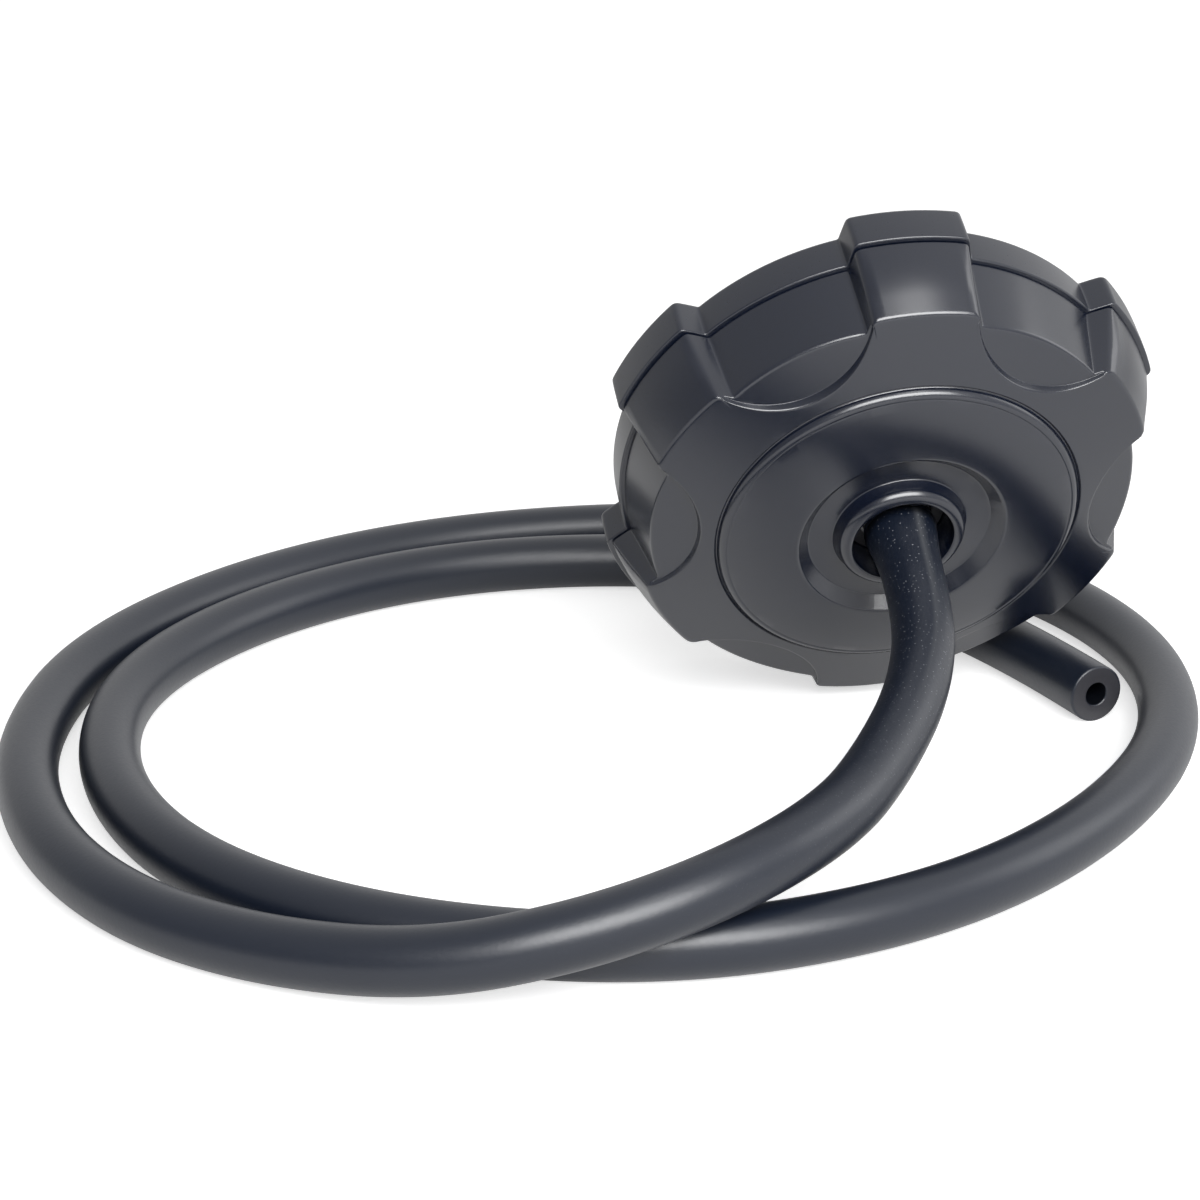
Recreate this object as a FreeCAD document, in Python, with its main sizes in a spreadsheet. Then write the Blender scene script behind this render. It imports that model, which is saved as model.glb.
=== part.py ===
# Vented screw cap for the filler neck of a tank, with its breather hose.
#
# The cap is drawn in its own frame: the turning axis is Z, the open side that goes over the
# neck starts at Z = 0, and the collar that the hose comes out of ends at Z = cap_height.
# It lies as it does when taken off: face down on its lowest lobe, propped by its hose.
# Lengths are in millimetres and angles in degrees.

import FreeCAD
import Part
import math
import os
import Sketcher
from FreeCAD import Vector

doc = FreeCAD.newDocument("filler_cap")
sheet = doc.addObject("Spreadsheet::Sheet", "Sizes")
value = {}
pieces = []
NEAR = 0.01


def size(alias, number):
    """Write one size in the sheet under its own name."""
    row = len(value) + 1
    sheet.set("A%d" % row, alias)
    sheet.set("B%d" % row, "%.9f" % number)
    sheet.setAlias("B%d" % row, alias)
    value[alias] = float(number)


def meet(a, b, c, d):
    """Crossing of the line through a and b with the line through c and d."""
    ux, uy = b[0] - a[0], b[1] - a[1]
    wx, wy = d[0] - c[0], d[1] - c[1]
    along = ((c[0] - a[0]) * wy - (c[1] - a[1]) * wx) / (ux * wy - uy * wx)
    return a[0] + along * ux, a[1] + along * uy


def along_line(a, b, x):
    """Second coordinate at x on the line through a and b."""
    return a[1] + (b[1] - a[1]) * (x - a[0]) / (b[0] - a[0])


driving = {
    # how the cap lies
    "lean": 25.6,
    "lobe_turn": 91.1,
    # neck thread, gasket and deck of the inner body
    "neck_radius": 33.0,
    "neck_length": 9.0,
    "skirt_foot": 0.6,
    "skirt_wall": 2.6,
    "flange_width": 2.6,
    "flange_height": 2.0,
    "end_play": 0.3,
    "gasket_height": 2.0,
    "gasket_groove": 0.5,
    "gasket_width": 8.4,
    "gasket_gap": 0.1,
    "deck_height": 2.4,
    "recess_depth": 1.8,
    "recess_wall": 2.0,
    # band that traps the inner body, and its snap spigot
    "band_height": 6.9,
    "band_overhang": 0.95,
    "band_lobe_rise": 4.2,
    "band_round": 0.8,
    "seam_gap": 0.3,
    "lip_clearance": 0.4,
    "lip_height": 2.3,
    "flange_clearance": 0.6,
    "spigot_wall": 2.1,
    "spigot_reach": 3.1,
    "bead_rise": 1.7,
    "bead_width": 0.9,
    "bead_proud": 0.3,
    "snap_clearance": 0.05,
    # wall, scallops and lobes of the front shell
    "shell_wall": 2.0,
    "socket_wall": 1.9,
    "wall_draft": 1.55,
    "scallop_reach": 7.5,
    "scallop_rise": 1.2,
    "scallop_radius": 13.6,
    "scallop_bite": 7.6,
    "lobe_count": 6,
    "lobe_foot_rise": 4.35,
    "lobe_front_rise": 2.7,
    "lobe_tip_angle": 11.5,
    "lobe_flank_angle": 2.0,
    "lobe_corner": 1.2,
    "rib_width": 1.6,
    "rib_stop": 6.0,
    "rib_clearance": 0.9,
    # sloping face, step, domed disc and the well round the collar
    "step_foot_rise": 2.2,
    "face_fall": 1.5,
    "face_margin": 3.3,
    "step_width": 0.5,
    "step_height": 0.6,
    "dome_radius": 90.0,
    "dome_rise": 2.7,
    "dome_width": 13.2,
    "well_depth": 2.2,
    "well_slope": 2.1,
    "well_rim_round": 0.6,
    "edge_round": 0.4,
    # collar and the sleeve behind it
    "collar_proud": 1.0,
    "collar_wall": 2.05,
    "collar_draft": 0.6,
    "collar_round": 0.7,
    "sleeve_gap": 1.2,
    # tower in the middle of the deck
    "tower_clearance": 0.1,
    "tower_wall": 2.05,
    "tower_lip": 0.4,
    "valve_step_rise": 0.6,
    "clip_groove": 0.55,
    "seal_rise": 1.0,
    "seal_section": 0.45,
    "seal_squeeze": 0.05,
    # ratchet
    "slide_height": 0.9,
    "slide_inset": 0.4,
    "slide_width": 4.0,
    "slide_gap": 0.2,
    "crown_gap": 1.2,
    "crown_wall": 2.0,
    "crown_height": 3.4,
    "tooth_count": 30,
    "tooth_depth": 1.5,
    "tooth_span": 14.0,
    "notch_margin": 1.0,
    "ratchet_height": 3.4,
    "ratchet_rim_gap": 0.5,
    "rim_lap": 0.8,
    "lug_clearance": 0.25,
    "lug_side_gap": 0.7,
    "arm_count": 3,
    "arm_gap": 1.2,
    "arm_width": 1.2,
    "arm_margin": 1.4,
    "arm_root_angle": 12.0,
    "arm_neck_angle": 20.0,
    "arm_tip_angle": 72.0,
    "pawl_angle": 5.0,
    "pawl_clearance": 0.4,
    # baffle plate, its screws and the breather foam
    "baffle_clearance": 1.6,
    "baffle_height": 1.1,
    "baffle_hole": 2.2,
    "baffle_hole_margin": 4.5,
    "baffle_hole_count": 6,
    "baffle_centre_hole": 3.0,
    "screw_count": 3,
    "screw_margin": 4.0,
    "screw_shank": 1.2,
    "screw_clearance": 0.05,
    "screw_reach": 5.0,
    "screw_head": 2.5,
    "screw_head_height": 0.8,
    "screw_hole": 1.5,
    "boss_radius": 2.6,
    "boss_height": 3.0,
    "recess_margin": 3.5,
    "foam_clearance": 0.2,
    # check valve
    "ball_radius": 2.0,
    "ball_clearance": 0.1,
    "ball_touch": 0.03,
    "cage_wall": 2.95,
    "cage_floor": 0.7,
    "cage_foot_gap": 0.1,
    "cage_flange_width": 1.2,
    "cage_flange_height": 1.2,
    "cage_slot_count": 4,
    "cage_slot_width": 1.2,
    "cage_slot_depth": 1.5,
    "cage_slot_margin": 0.5,
    "cage_hole": 1.3,
    "seat_height": 0.7,
    "seat_hole": 1.2,
    "valve_fit": 0.05,
    # nipple and clip
    "nipple_flange_height": 0.5,
    "gasket_seal_height": 0.4,
    "nipple_wall": 0.6,
    "nipple_swell": 0.5,
    "nipple_inset": 0.5,
    "barb_rise": 1.2,
    "barb_pitch": 1.6,
    "clip_height": 0.6,
    "clip_width": 1.1,
    "clip_gap_angle": 16.0,
    # hose
    "hose_bore": 2.0,
    "hose_wall": 3.0,
    "hose_inset": 2.5,
    "hose_flare": 2.5,
    "hose_lead": 18.5,
    "held_ease": 0.3,
}
for name, number in driving.items():
    size(name, number)

v = value

# Radii, from the neck outwards: inner body, spigot, front shell, band and lobes.
size("skirt_radius", v["neck_radius"] + v["skirt_wall"])
size("flange_radius", v["skirt_radius"] + v["flange_width"])
size("lip_radius", v["skirt_radius"] + v["lip_clearance"])
size("spigot_inner", v["flange_radius"] + v["flange_clearance"])
size("spigot_radius", v["spigot_inner"] + v["spigot_wall"])
size("socket_radius", v["spigot_radius"] + v["snap_clearance"])
size("cover_foot_radius", v["socket_radius"] + v["socket_wall"])
size("lobe_foot_radius", v["cover_foot_radius"] + v["lobe_foot_rise"])
size("wall_front_radius", v["cover_foot_radius"] - v["wall_draft"])
size("lobe_front_radius", v["wall_front_radius"] + v["lobe_front_rise"])
size("band_radius", v["cover_foot_radius"] + v["band_overhang"])
size("band_lobe_radius", v["band_radius"] + v["band_lobe_rise"])
size("scallop_inner_radius", v["wall_front_radius"] - v["scallop_reach"])
size("scallop_centre", v["wall_front_radius"] - v["scallop_bite"] + v["scallop_radius"])
size("lobe_root_angle", v["lobe_tip_angle"] + v["lobe_flank_angle"])
size("step_radius", v["scallop_inner_radius"] - v["face_margin"] + v["step_width"])
size("disc_edge_radius", v["step_radius"] - v["step_width"])
size("well_rim_radius", v["disc_edge_radius"] - v["dome_width"])
size("well_floor_radius", v["well_rim_radius"] - v["well_slope"])
size("rib_reach", v["disc_edge_radius"] - v["rib_stop"])

# Radii, from the ball outwards: cage, seat, tower and collar.
size("cage_bore", v["ball_radius"] + v["ball_clearance"])
size("cage_radius", v["cage_bore"] + v["cage_wall"])
size("cage_slot_reach", v["cage_bore"] + v["cage_slot_depth"])
size("valve_bore", v["cage_radius"] + v["valve_fit"])
size("seat_bore", v["valve_bore"] + v["cage_flange_width"])
size("tower_radius", v["seat_bore"] + v["tower_wall"])
size("collar_bore", v["tower_radius"] + v["tower_clearance"])
size("collar_rim_radius", v["collar_bore"] + v["collar_wall"])
size("collar_base_radius", v["collar_rim_radius"] + v["collar_draft"])
size("sleeve_radius", v["collar_bore"] + v["shell_wall"])

# Heights, from the open side to the front: neck, deck, ratchet, face and collar.
size("neck_top", v["skirt_foot"] + v["neck_length"])
size("deck_back", v["neck_top"] + v["gasket_height"])
size("deck_front", v["deck_back"] + v["deck_height"])
size("slide_top", v["deck_front"] + v["slide_height"])
size("ratchet_foot", v["slide_top"] + v["slide_gap"])
size("ledge_height", v["ratchet_foot"] + v["ratchet_height"])
size("wall_front_height", v["ledge_height"] + v["shell_wall"])
size("scallop_inner_height", v["wall_front_height"] + v["scallop_rise"])
size("step_foot_height", v["wall_front_height"] + v["step_foot_rise"])
size("lobe_front_height", v["step_foot_height"] - v["face_fall"])
size("disc_edge_height", v["step_foot_height"] + v["step_height"])
size("well_rim_height", v["disc_edge_height"] + v["dome_rise"])
size("well_floor_height", v["well_rim_height"] - v["well_depth"])
size("cap_height", v["well_rim_height"] + v["collar_proud"])
size("cover_foot", v["band_height"] + v["seam_gap"])
size("spigot_height", v["band_height"] + v["spigot_reach"])
size("bead_height", v["band_height"] + v["bead_rise"])

# Front shell: where its wall, its sloping face and its scallop floors cross.
face_a = (v["step_radius"], v["step_foot_height"])
face_b = (v["lobe_front_radius"], v["lobe_front_height"])
floor_a = (v["scallop_inner_radius"], v["scallop_inner_height"])
floor_b = (v["wall_front_radius"], v["wall_front_height"])
wall_a = (v["cover_foot_radius"], v["cover_foot"])
shoulder = meet(face_a, face_b, wall_a, floor_b)
size("shoulder_radius", shoulder[0])
size("shoulder_height", shoulder[1])
size("scallop_tilt", math.degrees(math.atan2(floor_a[1] - floor_b[1], floor_b[0] - floor_a[0])))
size("scallop_plane", along_line(floor_a, floor_b, 0.0))
size("scallop_along", v["scallop_centre"] / math.cos(math.radians(v["scallop_tilt"])))
size("scallop_depth", v["shell_wall"] * 2)
size("half_pitch", 180.0 / v["lobe_count"])

# Front shell: its inside, one wall thickness behind the outside.
size("under_floor", v["well_floor_height"] - v["shell_wall"])
size("under_rim_radius", v["well_rim_radius"] + v["shell_wall"])
disc_a = (v["well_rim_radius"], v["well_rim_height"])
disc_b = (v["disc_edge_radius"], v["disc_edge_height"])
size("under_rim", along_line(disc_a, disc_b, v["under_rim_radius"]) - v["shell_wall"])
size("under_step", v["step_foot_height"] - v["shell_wall"])
size("under_scallop", v["scallop_inner_height"] - v["shell_wall"])
size("ledge_inner", v["scallop_inner_radius"] + v["shell_wall"])


def wall_radius(height):
    """Outer radius of the front shell's wall at a height."""
    return along_line((wall_a[1], wall_a[0]), (floor_b[1], floor_b[0]), height)


def lobe_radius(height):
    """Outer radius of a lobe of the front shell at a height."""
    foot = (v["cover_foot"], v["lobe_foot_radius"])
    front = (v["lobe_front_height"], v["lobe_front_radius"])
    return along_line(foot, front, height)


size("ledge_outer", wall_radius(v["ledge_height"]) - v["shell_wall"])
size("socket_inner", wall_radius(v["spigot_height"]) - v["shell_wall"])
size("bead_radius", v["spigot_radius"] + v["bead_proud"])
size("bead_groove_radius", v["bead_radius"] + v["snap_clearance"])
size("bead_foot", v["bead_height"] - v["bead_width"] / 2)
size("bead_top", v["bead_height"] + v["bead_width"] / 2)
size("groove_foot", v["bead_foot"] - v["snap_clearance"])
size("groove_top", v["bead_top"] + v["snap_clearance"])


def polar(prefix, radius, angle):
    """Name the two coordinates of a point given by its radius and angle."""
    size(prefix + "_along", radius * math.cos(math.radians(angle)))
    size(prefix + "_across", radius * math.sin(math.radians(angle)))


# Lobes: a tapering wedge with a round outer face, drawn at its foot and above its front.
# The roots of both ends stay inside the wall.
size("lobe_top", v["step_foot_height"] + v["seam_gap"])
polar("foot_tip", v["lobe_foot_radius"], v["lobe_tip_angle"])
polar("foot_root", v["cover_foot_radius"] - v["shell_wall"] / 2, v["lobe_root_angle"])
polar("top_tip", lobe_radius(v["lobe_top"]), v["lobe_tip_angle"])
polar("top_root", wall_radius(v["lobe_top"]) - v["shell_wall"] / 2, v["lobe_root_angle"])
polar("band_tip", v["band_lobe_radius"], v["lobe_tip_angle"])
polar("band_root", v["band_radius"] - v["shell_wall"] / 2, v["lobe_root_angle"])
size("trim_inner", v["top_root_along"] - v["shell_wall"] / 2)
size("trim_outer", v["lobe_foot_radius"] + v["shell_wall"])
size("trim_inner_height", along_line(face_a, face_b, v["trim_inner"]))
size("trim_outer_height", along_line(face_a, face_b, v["trim_outer"]))
size("trim_top", v["lobe_top"] + v["shell_wall"])

# Hollows of the lobes, one wall thickness in from every side.
size("hollow_top", v["lobe_front_height"] - v["shell_wall"])
size("hollow_root", v["top_root_along"] - v["snap_clearance"])
size("hollow_foot_tip", v["foot_tip_along"] - v["shell_wall"])
size("hollow_foot_half", v["foot_tip_across"] - v["shell_wall"])
size("hollow_top_tip", lobe_radius(v["hollow_top"]) - v["shell_wall"] * 1.5)
size("hollow_top_half", v["top_tip_across"] - v["shell_wall"])
size("band_hollow_tip", v["band_tip_along"] - v["shell_wall"])
size("band_hollow_half", v["band_tip_across"] - v["shell_wall"])
size("band_hollow_root", v["spigot_radius"] + v["shell_wall"] / 2)
size("band_hollow_depth", v["band_height"] - v["shell_wall"])

# Ribs between the sleeve and the disc, sunk halfway into both walls.
size("rib_inner", v["collar_bore"] + v["shell_wall"] / 2)
size("rib_half", v["rib_width"] / 2)
size("rib_back", v["deck_front"] + v["crown_height"] + v["rib_clearance"])
size("rib_height", v["under_floor"] + v["shell_wall"] / 2 - v["rib_back"])

# Inner body: gasket groove, recess, crown of teeth, and the tower with its seal.
size("flange_foot", v["lip_height"] + v["end_play"])
size("flange_top", v["flange_foot"] + v["flange_height"])
size("gasket_radius", v["neck_radius"] + v["gasket_groove"])
size("gasket_inner", v["gasket_radius"] - v["gasket_width"])
size("gasket_edge", v["gasket_radius"] - v["valve_fit"])
size("gasket_back", v["neck_top"] + v["gasket_gap"])
size("baffle_radius", v["gasket_inner"] - v["baffle_clearance"])
size("screw_circle", v["baffle_radius"] - v["screw_margin"])
size("recess_radius", v["screw_circle"] - v["recess_margin"])
size("recess_outer", v["recess_radius"] + v["recess_wall"])
size("recess_top", v["deck_back"] + v["recess_depth"])
size("recess_front", v["recess_top"] + v["deck_height"])
size("slide_outer", v["skirt_radius"] - v["slide_inset"])
size("slide_inner", v["slide_outer"] - v["slide_width"])
size("tooth_crest", v["slide_inner"] - v["crown_gap"])
size("tooth_root", v["tooth_crest"] - v["tooth_depth"])
size("crown_inner", v["tooth_root"] - v["crown_wall"])
size("crown_top", v["deck_front"] + v["crown_height"])
size("sleeve_back", v["recess_front"] + v["sleeve_gap"])
size("seal_height", v["sleeve_back"] + v["seal_rise"])
size("seal_outer", v["collar_bore"] - v["seal_squeeze"])
size("seal_centre", v["seal_outer"] - v["seal_section"])
size("seal_groove", v["seal_centre"] - v["seal_section"])
size("seal_foot", v["seal_height"] - v["seal_section"] - v["valve_fit"])
size("seal_top", v["seal_height"] + v["seal_section"] + v["valve_fit"])
size("notch_outer", v["tooth_crest"] + v["notch_margin"])
polar("notch_end", v["notch_outer"], -v["tooth_span"])
size("pilot_radius", v["screw_shank"] + v["screw_clearance"])
size("pilot_depth", v["screw_reach"] + v["screw_clearance"] - v["baffle_height"] + v["valve_fit"])

# Stack of the valve: cage, seat, seal, nipple and clip, each on the one before.
size("valve_step_height", v["recess_front"] + v["valve_step_rise"])
size("cage_flange_top", v["valve_step_height"] + v["cage_flange_height"])
size("seat_top", v["cage_flange_top"] + v["seat_height"])
size("nipple_foot", v["seat_top"] + v["gasket_seal_height"])
size("nipple_flange_top", v["nipple_foot"] + v["nipple_flange_height"])
size("clip_top", v["nipple_flange_top"] + v["clip_height"])
size("tower_top", v["clip_top"] + v["tower_lip"])
size("clip_groove_radius", v["seat_bore"] + v["clip_groove"])
size("clip_inner", v["seat_bore"] - v["clip_width"])
size("stack_radius", v["seat_bore"] - v["valve_fit"])

# Ratchet ring: its rim laps over the slip ring, and its lugs fill the lobes' hollows.
size("ratchet_rim_outer", v["ledge_outer"] - v["ratchet_rim_gap"])
size("ratchet_rim_inner", v["slide_outer"] - v["rim_lap"])
size("lug_reach", v["hollow_top_tip"] - v["lug_clearance"])
size("lug_half_width", v["hollow_top_half"] - v["lug_side_gap"])
size("arm_outer", v["ratchet_rim_inner"] - v["arm_gap"])
size("arm_inner", v["arm_outer"] - v["arm_width"])
size("arm_height", v["ratchet_height"] - v["slide_gap"] - v["arm_margin"])
size("rim_middle", (v["ratchet_rim_inner"] + v["ratchet_rim_outer"]) / 2)
size("arm_foot", v["ratchet_foot"] + v["slide_gap"])
size("pawl_tip", v["tooth_crest"] + v["pawl_clearance"])
size("arm_anchor", v["ratchet_rim_inner"] + v["shell_wall"] / 2)
polar("anchor_start", v["arm_anchor"], v["arm_root_angle"])
polar("arm_start", v["arm_inner"], v["arm_root_angle"])
polar("arm_end", v["arm_inner"], v["arm_tip_angle"])
polar("pawl_point", v["pawl_tip"], v["arm_tip_angle"] + v["pawl_angle"])
polar("pawl_back", v["arm_outer"], v["arm_tip_angle"] + v["pawl_angle"])
polar("arm_neck", v["arm_outer"], v["arm_neck_angle"])
polar("anchor_end", v["arm_anchor"], v["arm_neck_angle"])

# Baffle plate against the deck, its screws, and the foam in the recess.
size("baffle_back", v["deck_back"] - v["baffle_height"])
size("screw_back", v["baffle_back"] - v["screw_head_height"])
size("foam_inner", v["valve_bore"] + v["foam_clearance"])
size("foam_outer", v["recess_radius"] - v["foam_clearance"])
size("baffle_hole_circle", v["recess_radius"] - v["baffle_hole_margin"])

# Cage and the ball, which rests against the hole of the rubber seat.
size("cage_foot", v["deck_back"] + v["cage_foot_gap"])
size("cage_floor_top", v["cage_foot"] + v["cage_floor"])
size("cage_slot_half", v["cage_slot_width"] / 2)
size("cage_slot_height", v["valve_step_height"] - v["cage_foot"] - v["cage_slot_margin"])
ball_stand = math.sqrt(v["ball_radius"] ** 2 - v["seat_hole"] ** 2)
size("ball_front", v["cage_flange_top"] - ball_stand - v["ball_touch"])
size("ball_travel", v["ball_front"] - v["cage_floor_top"] - v["ball_radius"] - v["ball_touch"])

# Barbs of the nipple, and the hose's end stretched over them with its wall kept in volume.
size("hose_radius", v["hose_bore"] + v["hose_wall"])
size("hose_start", v["cap_height"] - v["hose_inset"])
size("hose_flare_end", v["hose_start"] - v["hose_flare"])
size("nipple_tip", v["hose_start"] - v["nipple_inset"])
size("nipple_bore", v["hose_bore"] - v["nipple_wall"])
size("nipple_root", v["hose_bore"] + v["nipple_swell"])
size("barb_radius", v["hose_bore"] + v["barb_rise"])
size("barb_one_back", v["clip_top"] + v["barb_pitch"] / 2)
size("barb_one_front", v["barb_one_back"] + v["barb_pitch"])
size("nipple_tip_radius", v["hose_bore"])
size("held_bore", v["barb_radius"] + v["valve_fit"])
size("held_radius", math.sqrt(v["hose_radius"] ** 2 - v["hose_bore"] ** 2 + v["held_bore"] ** 2))
size("held_taper", v["barb_one_front"] + v["held_ease"])
size("held_taper_end", v["nipple_tip"] + v["held_ease"])

# Where the cap's frame lies: found below, once its shape is known.
size("seat_y", 0.0)
size("seat_z", 0.0)
doc.recompute()


def cell(alias):
    """Expression that reads a size, with a leading minus kept."""
    if alias.startswith("-"):
        return "-Sizes." + alias[1:]
    return "Sizes." + alias


def number_of(alias):
    """Present number of a size, of its negative, or of the origin."""
    if alias == "zero":
        return 0.0
    if alias.startswith("-"):
        return -value[alias[1:]]
    return value[alias]


LEANING = "create(<<rotation>>; create(<<vector>>; 1; 0; 0); 90 + Sizes.lean)"
TURNED = "create(<<rotation>>; create(<<vector>>; 0; 0; 1); Sizes.lobe_turn)"
SEAT = "create(<<vector>>; 0; Sizes.seat_y; Sizes.seat_z)"


def lay_down(piece, turned=False):
    """Put a piece in the cap's leaning frame, and turn it to the lobes where it turns."""
    turn = LEANING + " * " + TURNED if turned else LEANING
    piece.setExpression("Placement", "create(<<placement>>; %s; %s)" % (SEAT, turn))


def new_piece(label, turned=False):
    """Start the body of one piece, lying in the cap's frame."""
    piece = doc.addObject("PartDesign::Body", label)
    piece.Label = label
    lay_down(piece, turned)
    pieces.append(piece)
    return piece


def origin_part(piece, role):
    """Origin plane or axis of a piece."""
    return [part for part in piece.Origin.OriginFeatures if part.Role == role][0]


def new_sketch(piece, name, plane="XY_Plane", height=None):
    """Start a sketch on an origin plane, lifted to a named height."""
    sketch = piece.newObject("Sketcher::SketchObject", piece.Name + "_" + name)
    sketch.AttachmentSupport = [(origin_part(piece, plane), "")]
    sketch.MapMode = "FlatFace"
    if height:
        sketch.setExpression("AttachmentOffset.Base.z", cell(height))
    return sketch


def hold_point(sketch, item, end, place):
    """Hold a point of a sketch at a place named in the sheet."""
    for kind, alias, axis in (("DistanceX", place[0], -2), ("DistanceY", place[1], -1)):
        if alias == "zero":
            sketch.addConstraint(Sketcher.Constraint("PointOnObject", item, end, axis))
            continue
        held = Sketcher.Constraint(kind, -1, 1, item, end, number_of(alias))
        index = sketch.addConstraint(held)
        sketch.setExpression("Constraints[%d]" % index, cell(alias))


def arc_top(start, end, radius):
    """Middle of an arc from start to end that bulges to the right of the way."""
    chord = end - start
    side = Vector(chord.y, -chord.x, 0)
    side.normalize()
    inward = math.sqrt(radius ** 2 - (chord.Length / 2) ** 2)
    return (start + end) / 2 + side * (radius - inward)


def outline(sketch, corners):
    """Closed outline through named corners.

    A corner is (x, y), and the edge that follows it is straight. A third word makes that edge
    an arc: "about_axis" goes the short way about the origin, "round_axis" goes the long way,
    and a size's name is an arc of that radius.
    """
    count = len(corners)
    points = [Vector(number_of(corner[0]), number_of(corner[1]), 0) for corner in corners]
    ends = []
    for i, corner in enumerate(corners):
        start = points[i]
        end = points[(i + 1) % count]
        bend = corner[2] if len(corner) > 2 else None
        if bend is None:
            item = sketch.addGeometry(Part.LineSegment(start, end), False)
            ends.append((item, 1, 2))
            continue
        if bend == "about_axis":
            top = start + end
        elif bend == "round_axis":
            top = -start - end
        else:
            top = arc_top(start, end, number_of(bend))
        if bend.endswith("_axis"):
            top = top * (start.Length / top.Length)
        # A sketch's arc always runs counter-clockwise.
        forward = (top - start).cross(end - top).z > 0
        arc = Part.Arc(start, top, end) if forward else Part.Arc(end, top, start)
        item = sketch.addGeometry(arc, False)
        if bend.endswith("_axis"):
            sketch.addConstraint(Sketcher.Constraint("Coincident", item, 3, -1, 1))
        else:
            index = sketch.addConstraint(Sketcher.Constraint("Radius", item, number_of(bend)))
            sketch.setExpression("Constraints[%d]" % index, cell(bend))
        ends.append((item, 1, 2) if forward else (item, 2, 1))
    for i in range(count):
        item, _, last = ends[i]
        following, first, _ = ends[(i + 1) % count]
        sketch.addConstraint(Sketcher.Constraint("Coincident", item, last, following, first))
    for i, corner in enumerate(corners):
        item, first, _ = ends[i]
        before = corners[i - 1]
        if len(before) > 2 and before[2].endswith("_axis"):
            hold_on_arc(sketch, item, first, corner)
        else:
            hold_point(sketch, item, first, corner)


def hold_on_arc(sketch, item, end, corner):
    """Hold the far end of an arc about the axis by one coordinate: its radius is set."""
    held = Sketcher.Constraint("DistanceY", -1, 1, item, end, number_of(corner[1]))
    index = sketch.addConstraint(held)
    sketch.setExpression("Constraints[%d]" % index, cell(corner[1]))


def circle(sketch, radius, along="zero"):
    """Circle of a named radius, centred on the sketch's X axis."""
    centre = Vector(number_of(along), 0, 0)
    item = sketch.addGeometry(Part.Circle(centre, Vector(0, 0, 1), number_of(radius)), False)
    hold_point(sketch, item, 3, (along, "zero"))
    index = sketch.addConstraint(Sketcher.Constraint("Radius", item, number_of(radius)))
    sketch.setExpression("Constraints[%d]" % index, cell(radius))


def revolve(piece, name, corners, kind="Revolution"):
    """Turn a section of (radius, height) corners about the axis, to add or to cut."""
    sketch = new_sketch(piece, name + "_section", "XZ_Plane")
    outline(sketch, corners)
    feature = piece.newObject("PartDesign::" + kind, piece.Name + "_" + name)
    feature.Profile = sketch
    feature.ReferenceAxis = (sketch, ["V_Axis"])
    feature.Angle = 360
    return feature


def pad(piece, name, sketch, height):
    """Raise a sketch by a named height."""
    feature = piece.newObject("PartDesign::Pad", piece.Name + "_" + name)
    feature.Profile = sketch
    feature.setExpression("Length", cell(height))
    return feature


def pocket(piece, name, sketch, depth, upward=False):
    """Cut a sketch down, or up, by a named depth."""
    feature = piece.newObject("PartDesign::Pocket", piece.Name + "_" + name)
    feature.Profile = sketch
    feature.Reversed = upward
    feature.setExpression("Length", cell(depth))
    return feature


def loft(piece, name, first, last, kind="AdditiveLoft"):
    """Straight loft between two sketches, to add or to cut."""
    feature = piece.newObject("PartDesign::" + kind, piece.Name + "_" + name)
    feature.Profile = first
    feature.Sections = [last]
    feature.Ruled = True
    return feature


def repeat(piece, name, features, count):
    """Repeat features evenly round the axis."""
    feature = piece.newObject("PartDesign::PolarPattern", piece.Name + "_" + name)
    feature.Originals = features
    feature.Axis = (origin_part(piece, "Z_Axis"), [""])
    feature.Angle = 360
    feature.setExpression("Occurrences", cell(count))
    piece.Tip = feature
    return feature


def ring_edge(radius, height):
    """Test for the round edges about the axis at a named radius and height."""
    def picked(edge):
        curve = edge.Curve
        if curve.TypeId != "Part::GeomCircle":
            return False
        off_axis = math.hypot(curve.Center.x, curve.Center.y)
        same_ring = abs(curve.Radius - value[radius]) < NEAR and off_axis < NEAR
        return same_ring and abs(curve.Center.z - value[height]) < NEAR
    return picked


def corner_edge(inner, height):
    """Test for the upright edges of the lobes, outside a named radius."""
    def picked(edge):
        start, end = edge.Vertexes[0].Point, edge.Vertexes[-1].Point
        if abs(end.z - start.z) < value[height]:
            return False
        return min(math.hypot(p.x, p.y) for p in (start, end)) > value[inner] - NEAR
    return picked


def outer_edge(inner, height):
    """Test for the edges outside a named radius that lie at a named height."""
    def picked(edge):
        ends = [vertex.Point for vertex in edge.Vertexes]
        level = all(abs(p.z - number_of(height)) < NEAR for p in ends)
        return level and min(math.hypot(p.x, p.y) for p in ends) > value[inner] - NEAR
    return picked


def round_edges(piece, name, radius, picked):
    """Round the edges of a piece that a test picks."""
    doc.recompute()
    base = piece.Tip
    # Edges are picked in the piece's own frame.
    edges = base.Shape.Edges
    names = ["Edge%d" % (i + 1) for i, edge in enumerate(edges) if picked(edge)]
    feature = piece.newObject("PartDesign::Fillet", piece.Name + "_" + name)
    feature.Base = (base, names)
    feature.setExpression("Radius", cell(radius))
    piece.Tip = feature
    return feature


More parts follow.
